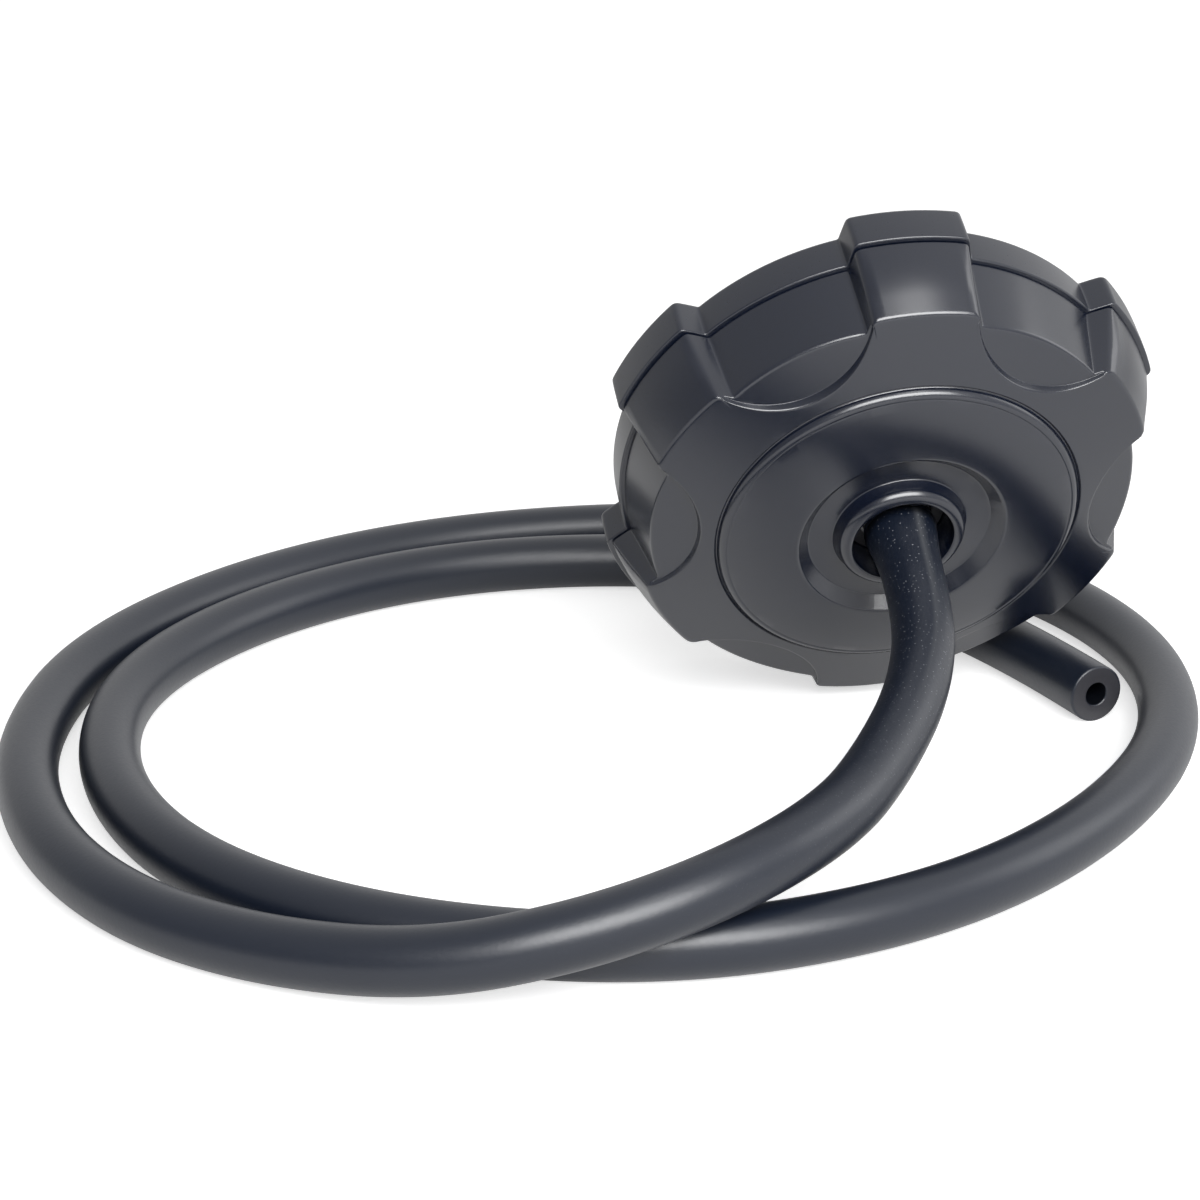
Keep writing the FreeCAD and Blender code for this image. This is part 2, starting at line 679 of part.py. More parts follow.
# Front shell. One moulding: collar, well, domed disc, sloping face and outer wall.
cover_shell = new_piece("cover_shell", turned=True)
revolve(cover_shell, "shell", [
    ("socket_radius", "cover_foot"),
    ("cover_foot_radius", "cover_foot"),
    ("shoulder_radius", "shoulder_height"),
    ("step_radius", "step_foot_height"),
    ("disc_edge_radius", "disc_edge_height", "dome_radius"),
    ("well_rim_radius", "well_rim_height"),
    ("well_floor_radius", "well_floor_height"),
    ("collar_base_radius", "well_floor_height"),
    ("collar_rim_radius", "cap_height"),
    ("collar_bore", "cap_height"),
    ("collar_bore", "sleeve_back"),
    ("sleeve_radius", "sleeve_back"),
    ("sleeve_radius", "under_floor"),
    ("well_rim_radius", "under_floor"),
    ("under_rim_radius", "under_rim"),
    ("step_radius", "under_step"),
    ("scallop_inner_radius", "under_scallop"),
    ("ledge_inner", "ledge_height"),
    ("ledge_outer", "ledge_height"),
    ("socket_inner", "spigot_height"),
    ("socket_radius", "spigot_height"),
    ("socket_radius", "groove_top"),
    ("bead_groove_radius", "groove_top"),
    ("bead_groove_radius", "groove_foot"),
    ("socket_radius", "groove_foot"),
])


def lobe_outline(sketch, root, tip):
    """Plan of a lobe: flanks that spread to the root, and a face about the axis."""
    outline(sketch, [
        (root + "_along", "-" + root + "_across"),
        (tip + "_along", "-" + tip + "_across", "about_axis"),
        (tip + "_along", tip + "_across"),
        (root + "_along", root + "_across"),
    ])


# Six lobes, which taper to the front and are trimmed by the sloping face.
lobe_foot = new_sketch(cover_shell, "lobe_foot", height="cover_foot")
lobe_outline(lobe_foot, "foot_root", "foot_tip")
lobe_head = new_sketch(cover_shell, "lobe_head", height="lobe_top")
lobe_outline(lobe_head, "top_root", "top_tip")
lobe = loft(cover_shell, "lobe", lobe_foot, lobe_head)
repeat(cover_shell, "lobes", [lobe], "lobe_count")
revolve(cover_shell, "face_trim", [
    ("trim_inner", "trim_inner_height"),
    ("trim_outer", "trim_outer_height"),
    ("trim_outer", "trim_top"),
    ("trim_inner", "trim_top"),
], "Groove")
round_edges(cover_shell, "lobe_corners", "lobe_corner", corner_edge("cover_foot_radius", "neck_length"))

# Hollows inside the lobes, open to the back.
hollow_foot = new_sketch(cover_shell, "hollow_foot", height="cover_foot")
outline(hollow_foot, [
    ("hollow_root", "-hollow_foot_half"),
    ("hollow_foot_tip", "-hollow_foot_half"),
    ("hollow_foot_tip", "hollow_foot_half"),
    ("hollow_root", "hollow_foot_half"),
])
hollow_head = new_sketch(cover_shell, "hollow_head", height="hollow_top")
outline(hollow_head, [
    ("hollow_root", "-hollow_top_half"),
    ("hollow_top_tip", "-hollow_top_half"),
    ("hollow_top_tip", "hollow_top_half"),
    ("hollow_root", "hollow_top_half"),
])
hollow = loft(cover_shell, "hollow", hollow_foot, hollow_head, "SubtractiveLoft")
repeat(cover_shell, "hollows", [hollow], "lobe_count")

# Scallops between the lobes: round bites out of the sloping face, with a sloping floor.
bite = new_sketch(cover_shell, "scallop")
bite.setExpression("AttachmentOffset", (
    "create(<<placement>>; create(<<vector>>; 0; 0; Sizes.scallop_plane);"
    " create(<<rotation>>; create(<<vector>>; 0; 0; 1); Sizes.half_pitch)"
    " * create(<<rotation>>; create(<<vector>>; 0; 1; 0); Sizes.scallop_tilt))"))
circle(bite, "scallop_radius", "scallop_along")
scallop = pocket(cover_shell, "scallop_cut", bite, "scallop_depth", upward=True)
repeat(cover_shell, "scallops", [scallop], "lobe_count")

# Ribs behind the disc, from the sleeve outwards.
rib_plan = new_sketch(cover_shell, "rib_plan", height="rib_back")
outline(rib_plan, [
    ("rib_inner", "-rib_half"),
    ("rib_reach", "-rib_half"),
    ("rib_reach", "rib_half"),
    ("rib_inner", "rib_half"),
])
rib = pad(cover_shell, "rib", rib_plan, "rib_height")
repeat(cover_shell, "ribs", [rib], "lobe_count")
round_edges(cover_shell, "collar_rounding", "collar_round", ring_edge("collar_rim_radius", "cap_height"))
round_edges(cover_shell, "rim_rounding", "well_rim_round", ring_edge("well_rim_radius", "well_rim_height"))
round_edges(cover_shell, "disc_rounding", "edge_round", ring_edge("disc_edge_radius", "disc_edge_height"))

# Band behind the seam, with its own lobes, a lip that traps the inner body and a snap spigot.
rear_ring = new_piece("rear_ring", turned=True)
revolve(rear_ring, "band", [
    ("lip_radius", "zero"),
    ("band_radius", "zero"),
    ("band_radius", "band_height"),
    ("spigot_radius", "band_height"),
    ("spigot_radius", "bead_foot"),
    ("bead_radius", "bead_height"),
    ("spigot_radius", "bead_top"),
    ("spigot_radius", "spigot_height"),
    ("spigot_inner", "spigot_height"),
    ("spigot_inner", "lip_height"),
    ("lip_radius", "lip_height"),
])
band_lobe_plan = new_sketch(rear_ring, "lobe_plan")
lobe_outline(band_lobe_plan, "band_root", "band_tip")
band_lobe = pad(rear_ring, "lobe", band_lobe_plan, "band_height")
repeat(rear_ring, "lobes", [band_lobe], "lobe_count")
round_edges(rear_ring, "lobe_corners", "lobe_corner", corner_edge("band_radius", "lip_height"))
round_edges(rear_ring, "back_rounding", "band_round", outer_edge("band_radius", "zero"))
band_hollow_plan = new_sketch(rear_ring, "hollow_plan", height="band_height")
outline(band_hollow_plan, [
    ("band_hollow_root", "-band_hollow_half"),
    ("band_hollow_tip", "-band_hollow_half"),
    ("band_hollow_tip", "band_hollow_half"),
    ("band_hollow_root", "band_hollow_half"),
])
band_hollow = pocket(rear_ring, "hollow", band_hollow_plan, "band_hollow_depth")
repeat(rear_ring, "hollows", [band_hollow], "lobe_count")

# Inner body: threaded skirt over the neck, deck, crown of ratchet teeth and valve tower.
thread_body = new_piece("thread_body")
revolve(thread_body, "body", [
    ("neck_radius", "skirt_foot"),
    ("skirt_radius", "skirt_foot"),
    ("skirt_radius", "flange_foot"),
    ("flange_radius", "flange_foot"),
    ("flange_radius", "flange_top"),
    ("skirt_radius", "flange_top"),
    ("skirt_radius", "deck_front"),
    ("tooth_crest", "deck_front"),
    ("tooth_crest", "crown_top"),
    ("crown_inner", "crown_top"),
    ("crown_inner", "deck_front"),
    ("recess_outer", "deck_front"),
    ("recess_outer", "recess_front"),
    ("tower_radius", "recess_front"),
    ("tower_radius", "seal_foot"),
    ("seal_groove", "seal_foot"),
    ("seal_groove", "seal_top"),
    ("tower_radius", "seal_top"),
    ("tower_radius", "tower_top"),
    ("seat_bore", "tower_top"),
    ("seat_bore", "clip_top"),
    ("clip_groove_radius", "clip_top"),
    ("clip_groove_radius", "nipple_flange_top"),
    ("seat_bore", "nipple_flange_top"),
    ("seat_bore", "valve_step_height"),
    ("valve_bore", "valve_step_height"),
    ("valve_bore", "recess_top"),
    ("recess_radius", "recess_top"),
    ("recess_radius", "deck_back"),
    ("gasket_radius", "deck_back"),
    ("gasket_radius", "neck_top"),
    ("neck_radius", "neck_top"),
])
notch_plan = new_sketch(thread_body, "notch_plan", height="crown_top")
outline(notch_plan, [
    ("tooth_root", "zero"),
    ("notch_end_along", "notch_end_across"),
    ("notch_outer", "zero"),
])
notch = pocket(thread_body, "notch", notch_plan, "crown_height")
repeat(thread_body, "teeth", [notch], "tooth_count")
boss_plan = new_sketch(thread_body, "boss_plan", height="deck_front")
circle(boss_plan, "boss_radius", "screw_circle")
boss = pad(thread_body, "boss", boss_plan, "boss_height")
repeat(thread_body, "bosses", [boss], "screw_count")
pilot_plan = new_sketch(thread_body, "pilot_plan", height="deck_back")
circle(pilot_plan, "pilot_radius", "screw_circle")
pilot = pocket(thread_body, "pilot", pilot_plan, "pilot_depth", upward=True)
repeat(thread_body, "pilots", [pilot], "screw_count")

# Thin slip ring on the deck, which the ratchet ring turns on.
slide_ring = new_piece("slide_ring")
revolve(slide_ring, "ring", [
    ("slide_inner", "deck_front"),
    ("slide_outer", "deck_front"),
    ("slide_outer", "slide_top"),
    ("slide_inner", "slide_top"),
])

# Ratchet ring: a rim under the shell's ledge, lugs in its lobes, and sprung pawl arms.
ratchet_ring = new_piece("ratchet_ring", turned=True)
rim_plan = new_sketch(ratchet_ring, "rim_plan", height="ratchet_foot")
circle(rim_plan, "ratchet_rim_inner")
circle(rim_plan, "ratchet_rim_outer")
pad(ratchet_ring, "rim", rim_plan, "ratchet_height")
lug_plan = new_sketch(ratchet_ring, "lug_plan", height="ratchet_foot")
outline(lug_plan, [
    ("rim_middle", "-lug_half_width"),
    ("lug_reach", "-lug_half_width"),
    ("lug_reach", "lug_half_width"),
    ("rim_middle", "lug_half_width"),
])
lug = pad(ratchet_ring, "lug", lug_plan, "ratchet_height")
repeat(ratchet_ring, "lugs", [lug], "lobe_count")
arm_plan = new_sketch(ratchet_ring, "arm_plan", height="arm_foot")
outline(arm_plan, [
    ("anchor_start_along", "anchor_start_across"),
    ("arm_start_along", "arm_start_across", "about_axis"),
    ("arm_end_along", "arm_end_across"),
    ("pawl_point_along", "pawl_point_across"),
    ("pawl_back_along", "pawl_back_across", "about_axis"),
    ("arm_neck_along", "arm_neck_across"),
    ("anchor_end_along", "anchor_end_across"),
])
arm = pad(ratchet_ring, "arm", arm_plan, "arm_height")
repeat(ratchet_ring, "arms", [arm], "arm_count")

# Flat seal that the rim of the neck presses on, held in its groove.
neck_gasket = new_piece("neck_gasket")
revolve(neck_gasket, "seal", [
    ("gasket_inner", "gasket_back"),
    ("gasket_edge", "gasket_back"),
    ("gasket_edge", "deck_back"),
    ("gasket_inner", "deck_back"),
])

# Splash plate against the deck, with breathing holes.
baffle_plate = new_piece("baffle_plate")
plate_plan = new_sketch(baffle_plate, "plate_plan", height="baffle_back")
circle(plate_plan, "baffle_radius")
circle(plate_plan, "baffle_centre_hole")
pad(baffle_plate, "plate", plate_plan, "baffle_height")
breather_plan = new_sketch(baffle_plate, "breather_plan", height="deck_back")
circle(breather_plan, "baffle_hole", "baffle_hole_circle")
breather = pocket(baffle_plate, "breather", breather_plan, "baffle_height")
repeat(baffle_plate, "breathers", [breather], "baffle_hole_count")
screw_hole_plan = new_sketch(baffle_plate, "screw_hole_plan", height="deck_back")
circle(screw_hole_plan, "screw_hole", "screw_circle")
screw_hole = pocket(baffle_plate, "screw_hole", screw_hole_plan, "baffle_height")
repeat(baffle_plate, "screw_holes", [screw_hole], "screw_count")

# Three screws through the plate into the bosses.
baffle_screws = new_piece("baffle_screws")
head_plan = new_sketch(baffle_screws, "head_plan", height="screw_back")
circle(head_plan, "screw_head", "screw_circle")
head = pad(baffle_screws, "head", head_plan, "screw_head_height")
shank_plan = new_sketch(baffle_screws, "shank_plan", height="baffle_back")
circle(shank_plan, "screw_shank", "screw_circle")
shank = pad(baffle_screws, "shank", shank_plan, "screw_reach")
repeat(baffle_screws, "screws", [head, shank], "screw_count")

# Breather foam in the recess, round the valve cage.
foam_disc = new_piece("foam_disc")
revolve(foam_disc, "foam", [
    ("foam_inner", "deck_back"),
    ("foam_outer", "deck_back"),
    ("foam_outer", "recess_top"),
    ("foam_inner", "recess_top"),
])

# Valve cage: a flanged cup whose slots let air past the ball.
ball_cage = new_piece("ball_cage")
revolve(ball_cage, "cup", [
    ("cage_hole", "cage_foot"),
    ("cage_radius", "cage_foot"),
    ("cage_radius", "valve_step_height"),
    ("stack_radius", "valve_step_height"),
    ("stack_radius", "cage_flange_top"),
    ("cage_bore", "cage_flange_top"),
    ("cage_bore", "cage_floor_top"),
    ("cage_hole", "cage_floor_top"),
])
slot_plan = new_sketch(ball_cage, "slot_plan", height="cage_foot")
outline(slot_plan, [
    ("zero", "-cage_slot_half"),
    ("cage_slot_reach", "-cage_slot_half"),
    ("cage_slot_reach", "cage_slot_half"),
    ("zero", "cage_slot_half"),
])
slot = pocket(ball_cage, "slot", slot_plan, "cage_slot_height", upward=True)
repeat(ball_cage, "slots", [slot], "cage_slot_count")

# Steel ball, lying forward against the seat.
check_ball = doc.addObject("Part::Sphere", "check_ball")
check_ball.setExpression("Radius", cell("ball_radius"))
check_ball.setExpression("Placement", (
    "create(<<placement>>; %s + %s * create(<<vector>>; 0; 0; Sizes.ball_front); %s)"
    % (SEAT, LEANING, LEANING)))
pieces.append(check_ball)

# Rubber seat washer over the cage.
valve_seat = new_piece("valve_seat")
revolve(valve_seat, "washer", [
    ("seat_hole", "cage_flange_top"),
    ("stack_radius", "cage_flange_top"),
    ("stack_radius", "seat_top"),
    ("seat_hole", "seat_top"),
])

# Thin seal between the seat and the nipple's flange.
nipple_gasket = new_piece("nipple_gasket")
revolve(nipple_gasket, "washer", [
    ("nipple_root", "seat_top"),
    ("stack_radius", "seat_top"),
    ("stack_radius", "nipple_foot"),
    ("nipple_root", "nipple_foot"),
])

# Nipple with two barbs, which the hose is pushed over.
nipple = new_piece("nipple")
revolve(nipple, "barbs", [
    ("nipple_bore", "nipple_foot"),
    ("stack_radius", "nipple_foot"),
    ("stack_radius", "nipple_flange_top"),
    ("nipple_root", "nipple_flange_top"),
    ("nipple_root", "barb_one_back"),
    ("barb_radius", "barb_one_back"),
    ("nipple_root", "barb_one_front"),
    ("barb_radius", "barb_one_front"),
    ("nipple_tip_radius", "nipple_tip"),
    ("nipple_bore", "nipple_tip"),
])

# Snap ring over the nipple's flange, with the gap that lets it close.
retaining_clip = new_piece("retaining_clip")
polar("clip_lip", v["clip_groove_radius"] - v["valve_fit"], v["clip_gap_angle"])
polar("clip_eye", v["clip_inner"], v["clip_gap_angle"])
clip_plan = new_sketch(retaining_clip, "clip_plan", height="nipple_flange_top")
outline(clip_plan, [
    ("clip_lip_along", "clip_lip_across", "round_axis"),
    ("clip_lip_along", "-clip_lip_across"),
    ("clip_eye_along", "-clip_eye_across", "round_axis"),
    ("clip_eye_along", "clip_eye_across"),
])
pad(retaining_clip, "clip", clip_plan, "clip_height")

# Rubber ring in the tower's groove, which keeps grit out of the ratchet.
tower_seal = doc.addObject("Part::Torus", "tower_seal")
tower_seal.setExpression("Radius1", cell("seal_centre"))
tower_seal.setExpression("Radius2", cell("seal_section"))
tower_seal.setExpression("Placement", (
    "create(<<placement>>; %s + %s * create(<<vector>>; 0; 0; Sizes.seal_height); %s)"
    % (SEAT, LEANING, LEANING)))
pieces.append(tower_seal)

# End of the hose that is stretched over the nipple.
hose_held_end = new_piece("hose_held_end")
revolve(hose_held_end, "sleeve", [
    ("held_bore", "clip_top"),
    ("held_radius", "clip_top"),
    ("held_radius", "hose_flare_end"),
    ("hose_radius", "hose_start"),
    ("hose_bore", "hose_start"),
    ("hose_bore", "held_taper_end"),
    ("held_bore", "held_taper"),
])
doc.recompute()

# The cap stands on its lowest lobe, and the middle of its box is over the origin.
outside = Part.makeCompound([cover_shell.Shape, rear_ring.Shape])
box = outside.optimalBoundingBox(False, False)
cells = {alias: row + 1 for row, alias in enumerate(value)}
value["seat_y"] = -(box.YMin + box.YMax) / 2
value["seat_z"] = -box.ZMin
for alias in ("seat_y", "seat_z"):
    sheet.set("B%d" % cells[alias], "%.9f" % value[alias])
doc.recompute()
print("seat of the cap's frame: y %.4f, z %.4f" % (value["seat_y"], value["seat_z"]))
print("the ball travels %.2f mm" % v["ball_travel"])

# Route of the free hose: out of the collar along the cap's axis, down to the floor over its
# own last loop, and round in two loose loops to the cut end. Chosen by hand.
lean = math.radians(v["lean"])
outward = Vector(0, -math.cos(lean), -math.sin(lean))
seat = Vector(0, v["seat_y"], v["seat_z"])
first = seat + outward * v["hose_start"]
route = [first, first + outward * v["hose_lead"]] + [Vector(*place) for place in (
    (-5.5, -47.0, 24.5),
    (-15.0, -62.5, 20.0),
    (-26.0, -78.0, 18.0),
    (-45.0, -92.0, 16.0),
    (-67.0, -97.0, 12.0),
    (-89.0, -92.5, 7.0),
    (-111.5, -79.5, 5.0),
    (-130.0, -61.5, 5.0),
    (-141.5, -34.0, 5.0),
    (-143.5, 0.5, 5.0),
    (-132.5, 38.5, 5.0),
    (-105.0, 69.5, 5.0),
    (-69.0, 88.0, 5.0),
    (-28.0, 91.5, 5.0),
    (12.0, 81.5, 5.0),
    (41.0, 52.0, 5.0),
    (53.0, 13.0, 5.0),
    (45.5, -26.5, 5.0),
    (21.0, -60.0, 5.0),
    (-12.0, -83.0, 5.0),
    (-52.0, -91.0, 5.0),
    (-91.0, -78.5, 5.0),
    (-119.0, -52.0, 5.0),
    (-131.0, -15.5, 5.0),
    (-126.5, 23.5, 5.0),
    (-103.5, 54.5, 5.0),
    (-69.5, 73.0, 5.0),
    (-31.0, 74.0, 5.0),
    (3.5, 59.5, 5.0),
    (27.5, 28.0, 5.0),
    (37.0, -8.5, 5.0),
)]
BEND_SHARE = 0.45
STEP = 2.0


def bent_path(points):
    """Straight runs joined by tangent arcs, each as large as its two runs allow."""
    edges = []
    radii = []
    last = points[0]
    for before, corner, after in zip(points, points[1:], points[2:]):
        back = before - corner
        onward = after - corner
        reach = BEND_SHARE * min(back.Length, onward.Length)
        back.normalize()
        onward.normalize()
        half_turn = (math.pi - back.getAngle(onward)) / 2
        radius = reach / math.tan(half_turn)
        radii.append(radius)
        inward = back + onward
        inward.normalize()
        start = corner + back * reach
        end = corner + onward * reach
        top = corner + inward * (radius / math.cos(half_turn) - radius)
        edges.append(Part.LineSegment(last, start).toShape())
        edges.append(Part.Arc(start, top, end).toShape())
        last = end
    edges.append(Part.LineSegment(last, points[-1]).toShape())
    return Part.Wire(edges), radii


def least_gap(path, diameter, apart):
    """Least gap of a tube to itself, measured on points at least so far apart along it."""
    points = path.discretize(Distance=STEP)
    skip = int(apart / STEP)
    gap = apart
    for i, point in enumerate(points):
        for other in points[i + skip:]:
            gap = min(gap, point.distanceToPoint(other) - diameter)
    return gap


# Free stretch of the hose: a bore inside a round tube.
path, radii = bent_path(route)
hose_path = doc.addObject("Part::Feature", "hose_path")
hose_path.Shape = path
swept = {}
for name, radius in (("hose_outside", "hose_radius"), ("hose_inside", "hose_bore")):
    ring = doc.addObject("Part::Circle", name + "_ring")
    ring.setExpression("Radius", cell(radius))
    ring.setExpression("Placement", (
        "create(<<placement>>; %s + %s * create(<<vector>>; 0; 0; Sizes.hose_start); %s)"
        % (SEAT, LEANING, LEANING)))
    tube = doc.addObject("Part::Sweep", name)
    tube.Sections = [ring]
    tube.Spine = (hose_path, [])
    tube.Solid = True
    tube.Frenet = False
    swept[name] = tube
breather_hose = doc.addObject("Part::Cut", "breather_hose")
breather_hose.Base = swept["hose_outside"]
breather_hose.Tool = swept["hose_inside"]
pieces.append(breather_hose)
doc.recompute()

section = math.pi * (v["hose_radius"] ** 2 - v["hose_bore"] ** 2)
print("free hose %.1f mm long, volume %.0f of %.0f mm3"
      % (path.Length, breather_hose.Shape.Volume, section * path.Length))
print("bend radii", " ".join("%.0f" % radius for radius in radii))
print("least gap of the hose to itself %.2f mm"
      % least_gap(path, v["hose_radius"] * 2, v["hose_radius"] * 8))

# Every object has to be sound before anything is written.
faults = [item.Name for item in doc.Objects if "Invalid" in item.State or "Error" in item.State]
for piece in pieces:
    if piece.Shape.isNull() or not piece.Shape.isValid() or not piece.Shape.Solids:
        faults.append(piece.Label)
if faults:
    raise RuntimeError("not sound: " + ", ".join(faults))

os.makedirs("parts", exist_ok=True)
for piece in pieces:
    piece.Shape.exportStep("parts/%s.step" % piece.Label)
    print("%-16s %d solid, %.1f mm3" % (piece.Label, len(piece.Shape.Solids), piece.Shape.Volume))
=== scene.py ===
import math

import bpy
import numpy as np
from mathutils import Matrix, Vector


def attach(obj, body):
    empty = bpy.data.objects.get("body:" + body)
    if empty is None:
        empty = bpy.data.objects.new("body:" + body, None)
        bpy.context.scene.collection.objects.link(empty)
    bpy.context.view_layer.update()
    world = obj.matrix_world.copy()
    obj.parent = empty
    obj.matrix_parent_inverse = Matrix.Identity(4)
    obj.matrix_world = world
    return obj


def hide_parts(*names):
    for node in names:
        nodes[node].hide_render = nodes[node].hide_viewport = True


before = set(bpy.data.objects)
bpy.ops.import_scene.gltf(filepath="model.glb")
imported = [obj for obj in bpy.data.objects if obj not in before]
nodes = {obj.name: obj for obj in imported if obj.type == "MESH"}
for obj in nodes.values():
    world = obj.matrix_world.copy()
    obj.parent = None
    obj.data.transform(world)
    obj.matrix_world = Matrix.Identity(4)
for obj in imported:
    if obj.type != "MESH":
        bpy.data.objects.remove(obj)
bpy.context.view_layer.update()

# Inner body. One black polypropylene moulding that screws onto the tank's neck: a threaded skirt,
# a deck with a crown of ratchet teeth, and the tower that holds the check valve and the hose.
# The thread is moulded in the skirt's bore, nearly two and a half turns of a blunt ridge.
MM = 0.001
CAP_SEAT = Vector((0.0, 0.0088288, 0.0488408))
CAP_LEAN = math.radians(25.6)
# The cap's own frame: its turning axis is Z, and its open side starts at zero.
cap_place = Matrix.Translation(CAP_SEAT) @ Matrix.Rotation(math.pi / 2 + CAP_LEAN, 4, "X")


def piece_of(name, points, faces, place, body, slot, material):
    """A new piece from points in millimetres in the frame that place gives, riding on a body."""
    mesh = bpy.data.meshes.new(name)
    mesh.from_pydata([place @ (Vector(p) * MM) for p in points], [], faces)
    mesh.validate()
    mesh.shade_smooth()
    piece = bpy.data.objects.new(name, mesh)
    bpy.context.scene.collection.objects.link(piece)
    mesh.materials.append(material)
    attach(piece, body)
    return piece


def wire(material, kind, links=(), **values):
    """One shader node with its settings, its socket values and the outputs that feed it."""
    node = material.node_tree.nodes.new(kind)
    for name, value in values.items():
        if name in node.inputs:
            node.inputs[name].default_value = value
        else:
            setattr(node, name, value)
    for socket, output in dict(links).items():
        material.node_tree.links.new(output, node.inputs[socket])
    return node


CLOUD_SCALE, RELIEF_DEPTH = 45.0, 0.0001


def moulded(name, dark, light, rough, grain, bump, gloss_level=0.5):
    """Two close tones in soft clouds, and a fine grain in the gloss and the relief."""
    material = bpy.data.materials.new(name)
    material.use_nodes = True
    shader = material.node_tree.nodes["Principled BSDF"]
    shader.inputs["Specular IOR Level"].default_value = gloss_level
    where = {"Vector": wire(material, "ShaderNodeTexCoord").outputs["Object"]}
    clouds = wire(material, "ShaderNodeTexNoise", where, Scale=CLOUD_SCALE, Detail=3.0).outputs["Fac"]
    fine = wire(material, "ShaderNodeTexNoise", where, Scale=grain, Detail=4.0).outputs["Fac"]
    tone = wire(material, "ShaderNodeMix", {"Factor": clouds}, data_type="RGBA")
    tone.inputs["A"].default_value = (*dark, 1)
    tone.inputs["B"].default_value = (*light, 1)
    gloss = wire(material, "ShaderNodeMapRange", {"Value": fine})
    gloss.inputs["To Min"].default_value, gloss.inputs["To Max"].default_value = rough
    relief = wire(material, "ShaderNodeBump", {"Height": fine}, Strength=bump, Distance=RELIEF_DEPTH)
    links = material.node_tree.links
    links.new(tone.outputs["Result"], shader.inputs["Base Color"])
    links.new(gloss.outputs["Result"], shader.inputs["Roughness"])
    links.new(relief.outputs["Normal"], shader.inputs["Normal"])
    return material


def dress(name, material):
    """Give a CAD node its finish."""
    nodes[name].data.materials.clear()
    nodes[name].data.materials.append(material)


body_plastic = moulded(
    "inner_body_plastic", (0.020, 0.021, 0.025), (0.027, 0.028, 0.033),
    rough=(0.36, 0.48), grain=2600, bump=0.10
)
dress("thread_body", body_plastic)

# The ridge: radii of its foot and crest, half its width at both, and its run with a fade at each end.
BORE, CREST = 33.04, 31.7
FOOT_HALF, CREST_HALF = 0.75, 0.28
THREAD_FOOT, THREAD_PITCH, THREAD_TURNS = 2.3, 2.6, 2.4
THREAD_STEPS, THREAD_FADE, LEAST_RIDGE = 260, 0.06, 0.02
ridge_points, ridge_faces = [], []
for i in range(THREAD_STEPS + 1):
    share = i / THREAD_STEPS
    angle = 2 * math.pi * THREAD_TURNS * share
    rise = min(1.0, share / THREAD_FADE, (1 - share) / THREAD_FADE)
    crest = BORE - (BORE - CREST) * math.sin(rise * math.pi / 2) - LEAST_RIDGE
    middle = THREAD_FOOT + THREAD_PITCH * THREAD_TURNS * share
    for r, height in ((BORE, -FOOT_HALF), (crest, -CREST_HALF), (crest, CREST_HALF), (BORE, FOOT_HALF)):
        ridge_points.append((r * math.cos(angle), r * math.sin(angle), middle + height))
    if i:
        a, b = 4 * (i - 1), 4 * i
        ridge_faces += [(a + k, b + k, b + (k + 1) % 4, a + (k + 1) % 4) for k in range(4)]
ridge_faces += [(0, 1, 2, 3), tuple(4 * THREAD_STEPS + k for k in (3, 2, 1, 0))]
piece_of("neck_thread_ridge", ridge_points, ridge_faces, cap_place, "core", "body_plastic", body_plastic)

# Neck gasket. A flat ring of black nitrile rubber, punched from sheet and pressed into its groove,
# which the rim of the neck bears on.
dress("neck_gasket", moulded(
    "gasket_rubber_sheet", (0.016, 0.016, 0.017), (0.028, 0.028, 0.029),
    rough=(0.62, 0.80), grain=1500, bump=0.25
))

# Breather foam. A disc of open-cell foam that lies loose in the recess behind the baffle plate
# and keeps splashes away from the valve.
dress("foam_disc", moulded(
    "breather_foam_cells", (0.035, 0.035, 0.038), (0.11, 0.11, 0.12),
    rough=(0.85, 1.0), grain=1100, bump=1.0
))

# Baffle plate. A thin matt black disc with a ring of breathing holes, moulded in polypropylene and
# screwed to the deck over the foam.
dress("baffle_plate", moulded(
    "baffle_plastic_matt", (0.024, 0.025, 0.029), (0.034, 0.035, 0.040),
    rough=(0.45, 0.60), grain=1900, bump=0.15
))

# Baffle screws. Three small stainless pan-head screws with a cross recess, driven through the
# plate into the bosses of the deck.
SCREW_CIRCLE, SCREW_TURNS = 19.5, (0, 120, 240)
# The shank and the domed head as (radius, height), then the recess as (share of the cross, height).
SCREW_PROFILE = (
    (1.2, 15.45), (1.2, 10.5), (2.5, 10.5), (2.5, 10.2),
    (2.38, 9.98), (2.1, 9.83), (1.7, 9.74), (1.3, 9.70),
)
RECESS_PROFILE = ((1.0, 9.70), (0.92, 9.95), (0.70, 10.30))
ARM_LENGTH, ARM_HALF_WIDTH = 1.15, 0.24
SCREW_SIDES = 48


def band_faces(rings, sides, closed):
    """Quads between rings of points that follow one another; closed joins the last ring to the first."""
    faces = []
    for n in range(rings if closed else rings - 1):
        here, there = n * sides, (n + 1) % rings * sides
        faces += [
            (here + k, here + (k + 1) % sides, there + (k + 1) % sides, there + k) for k in range(sides)
        ]
    return faces


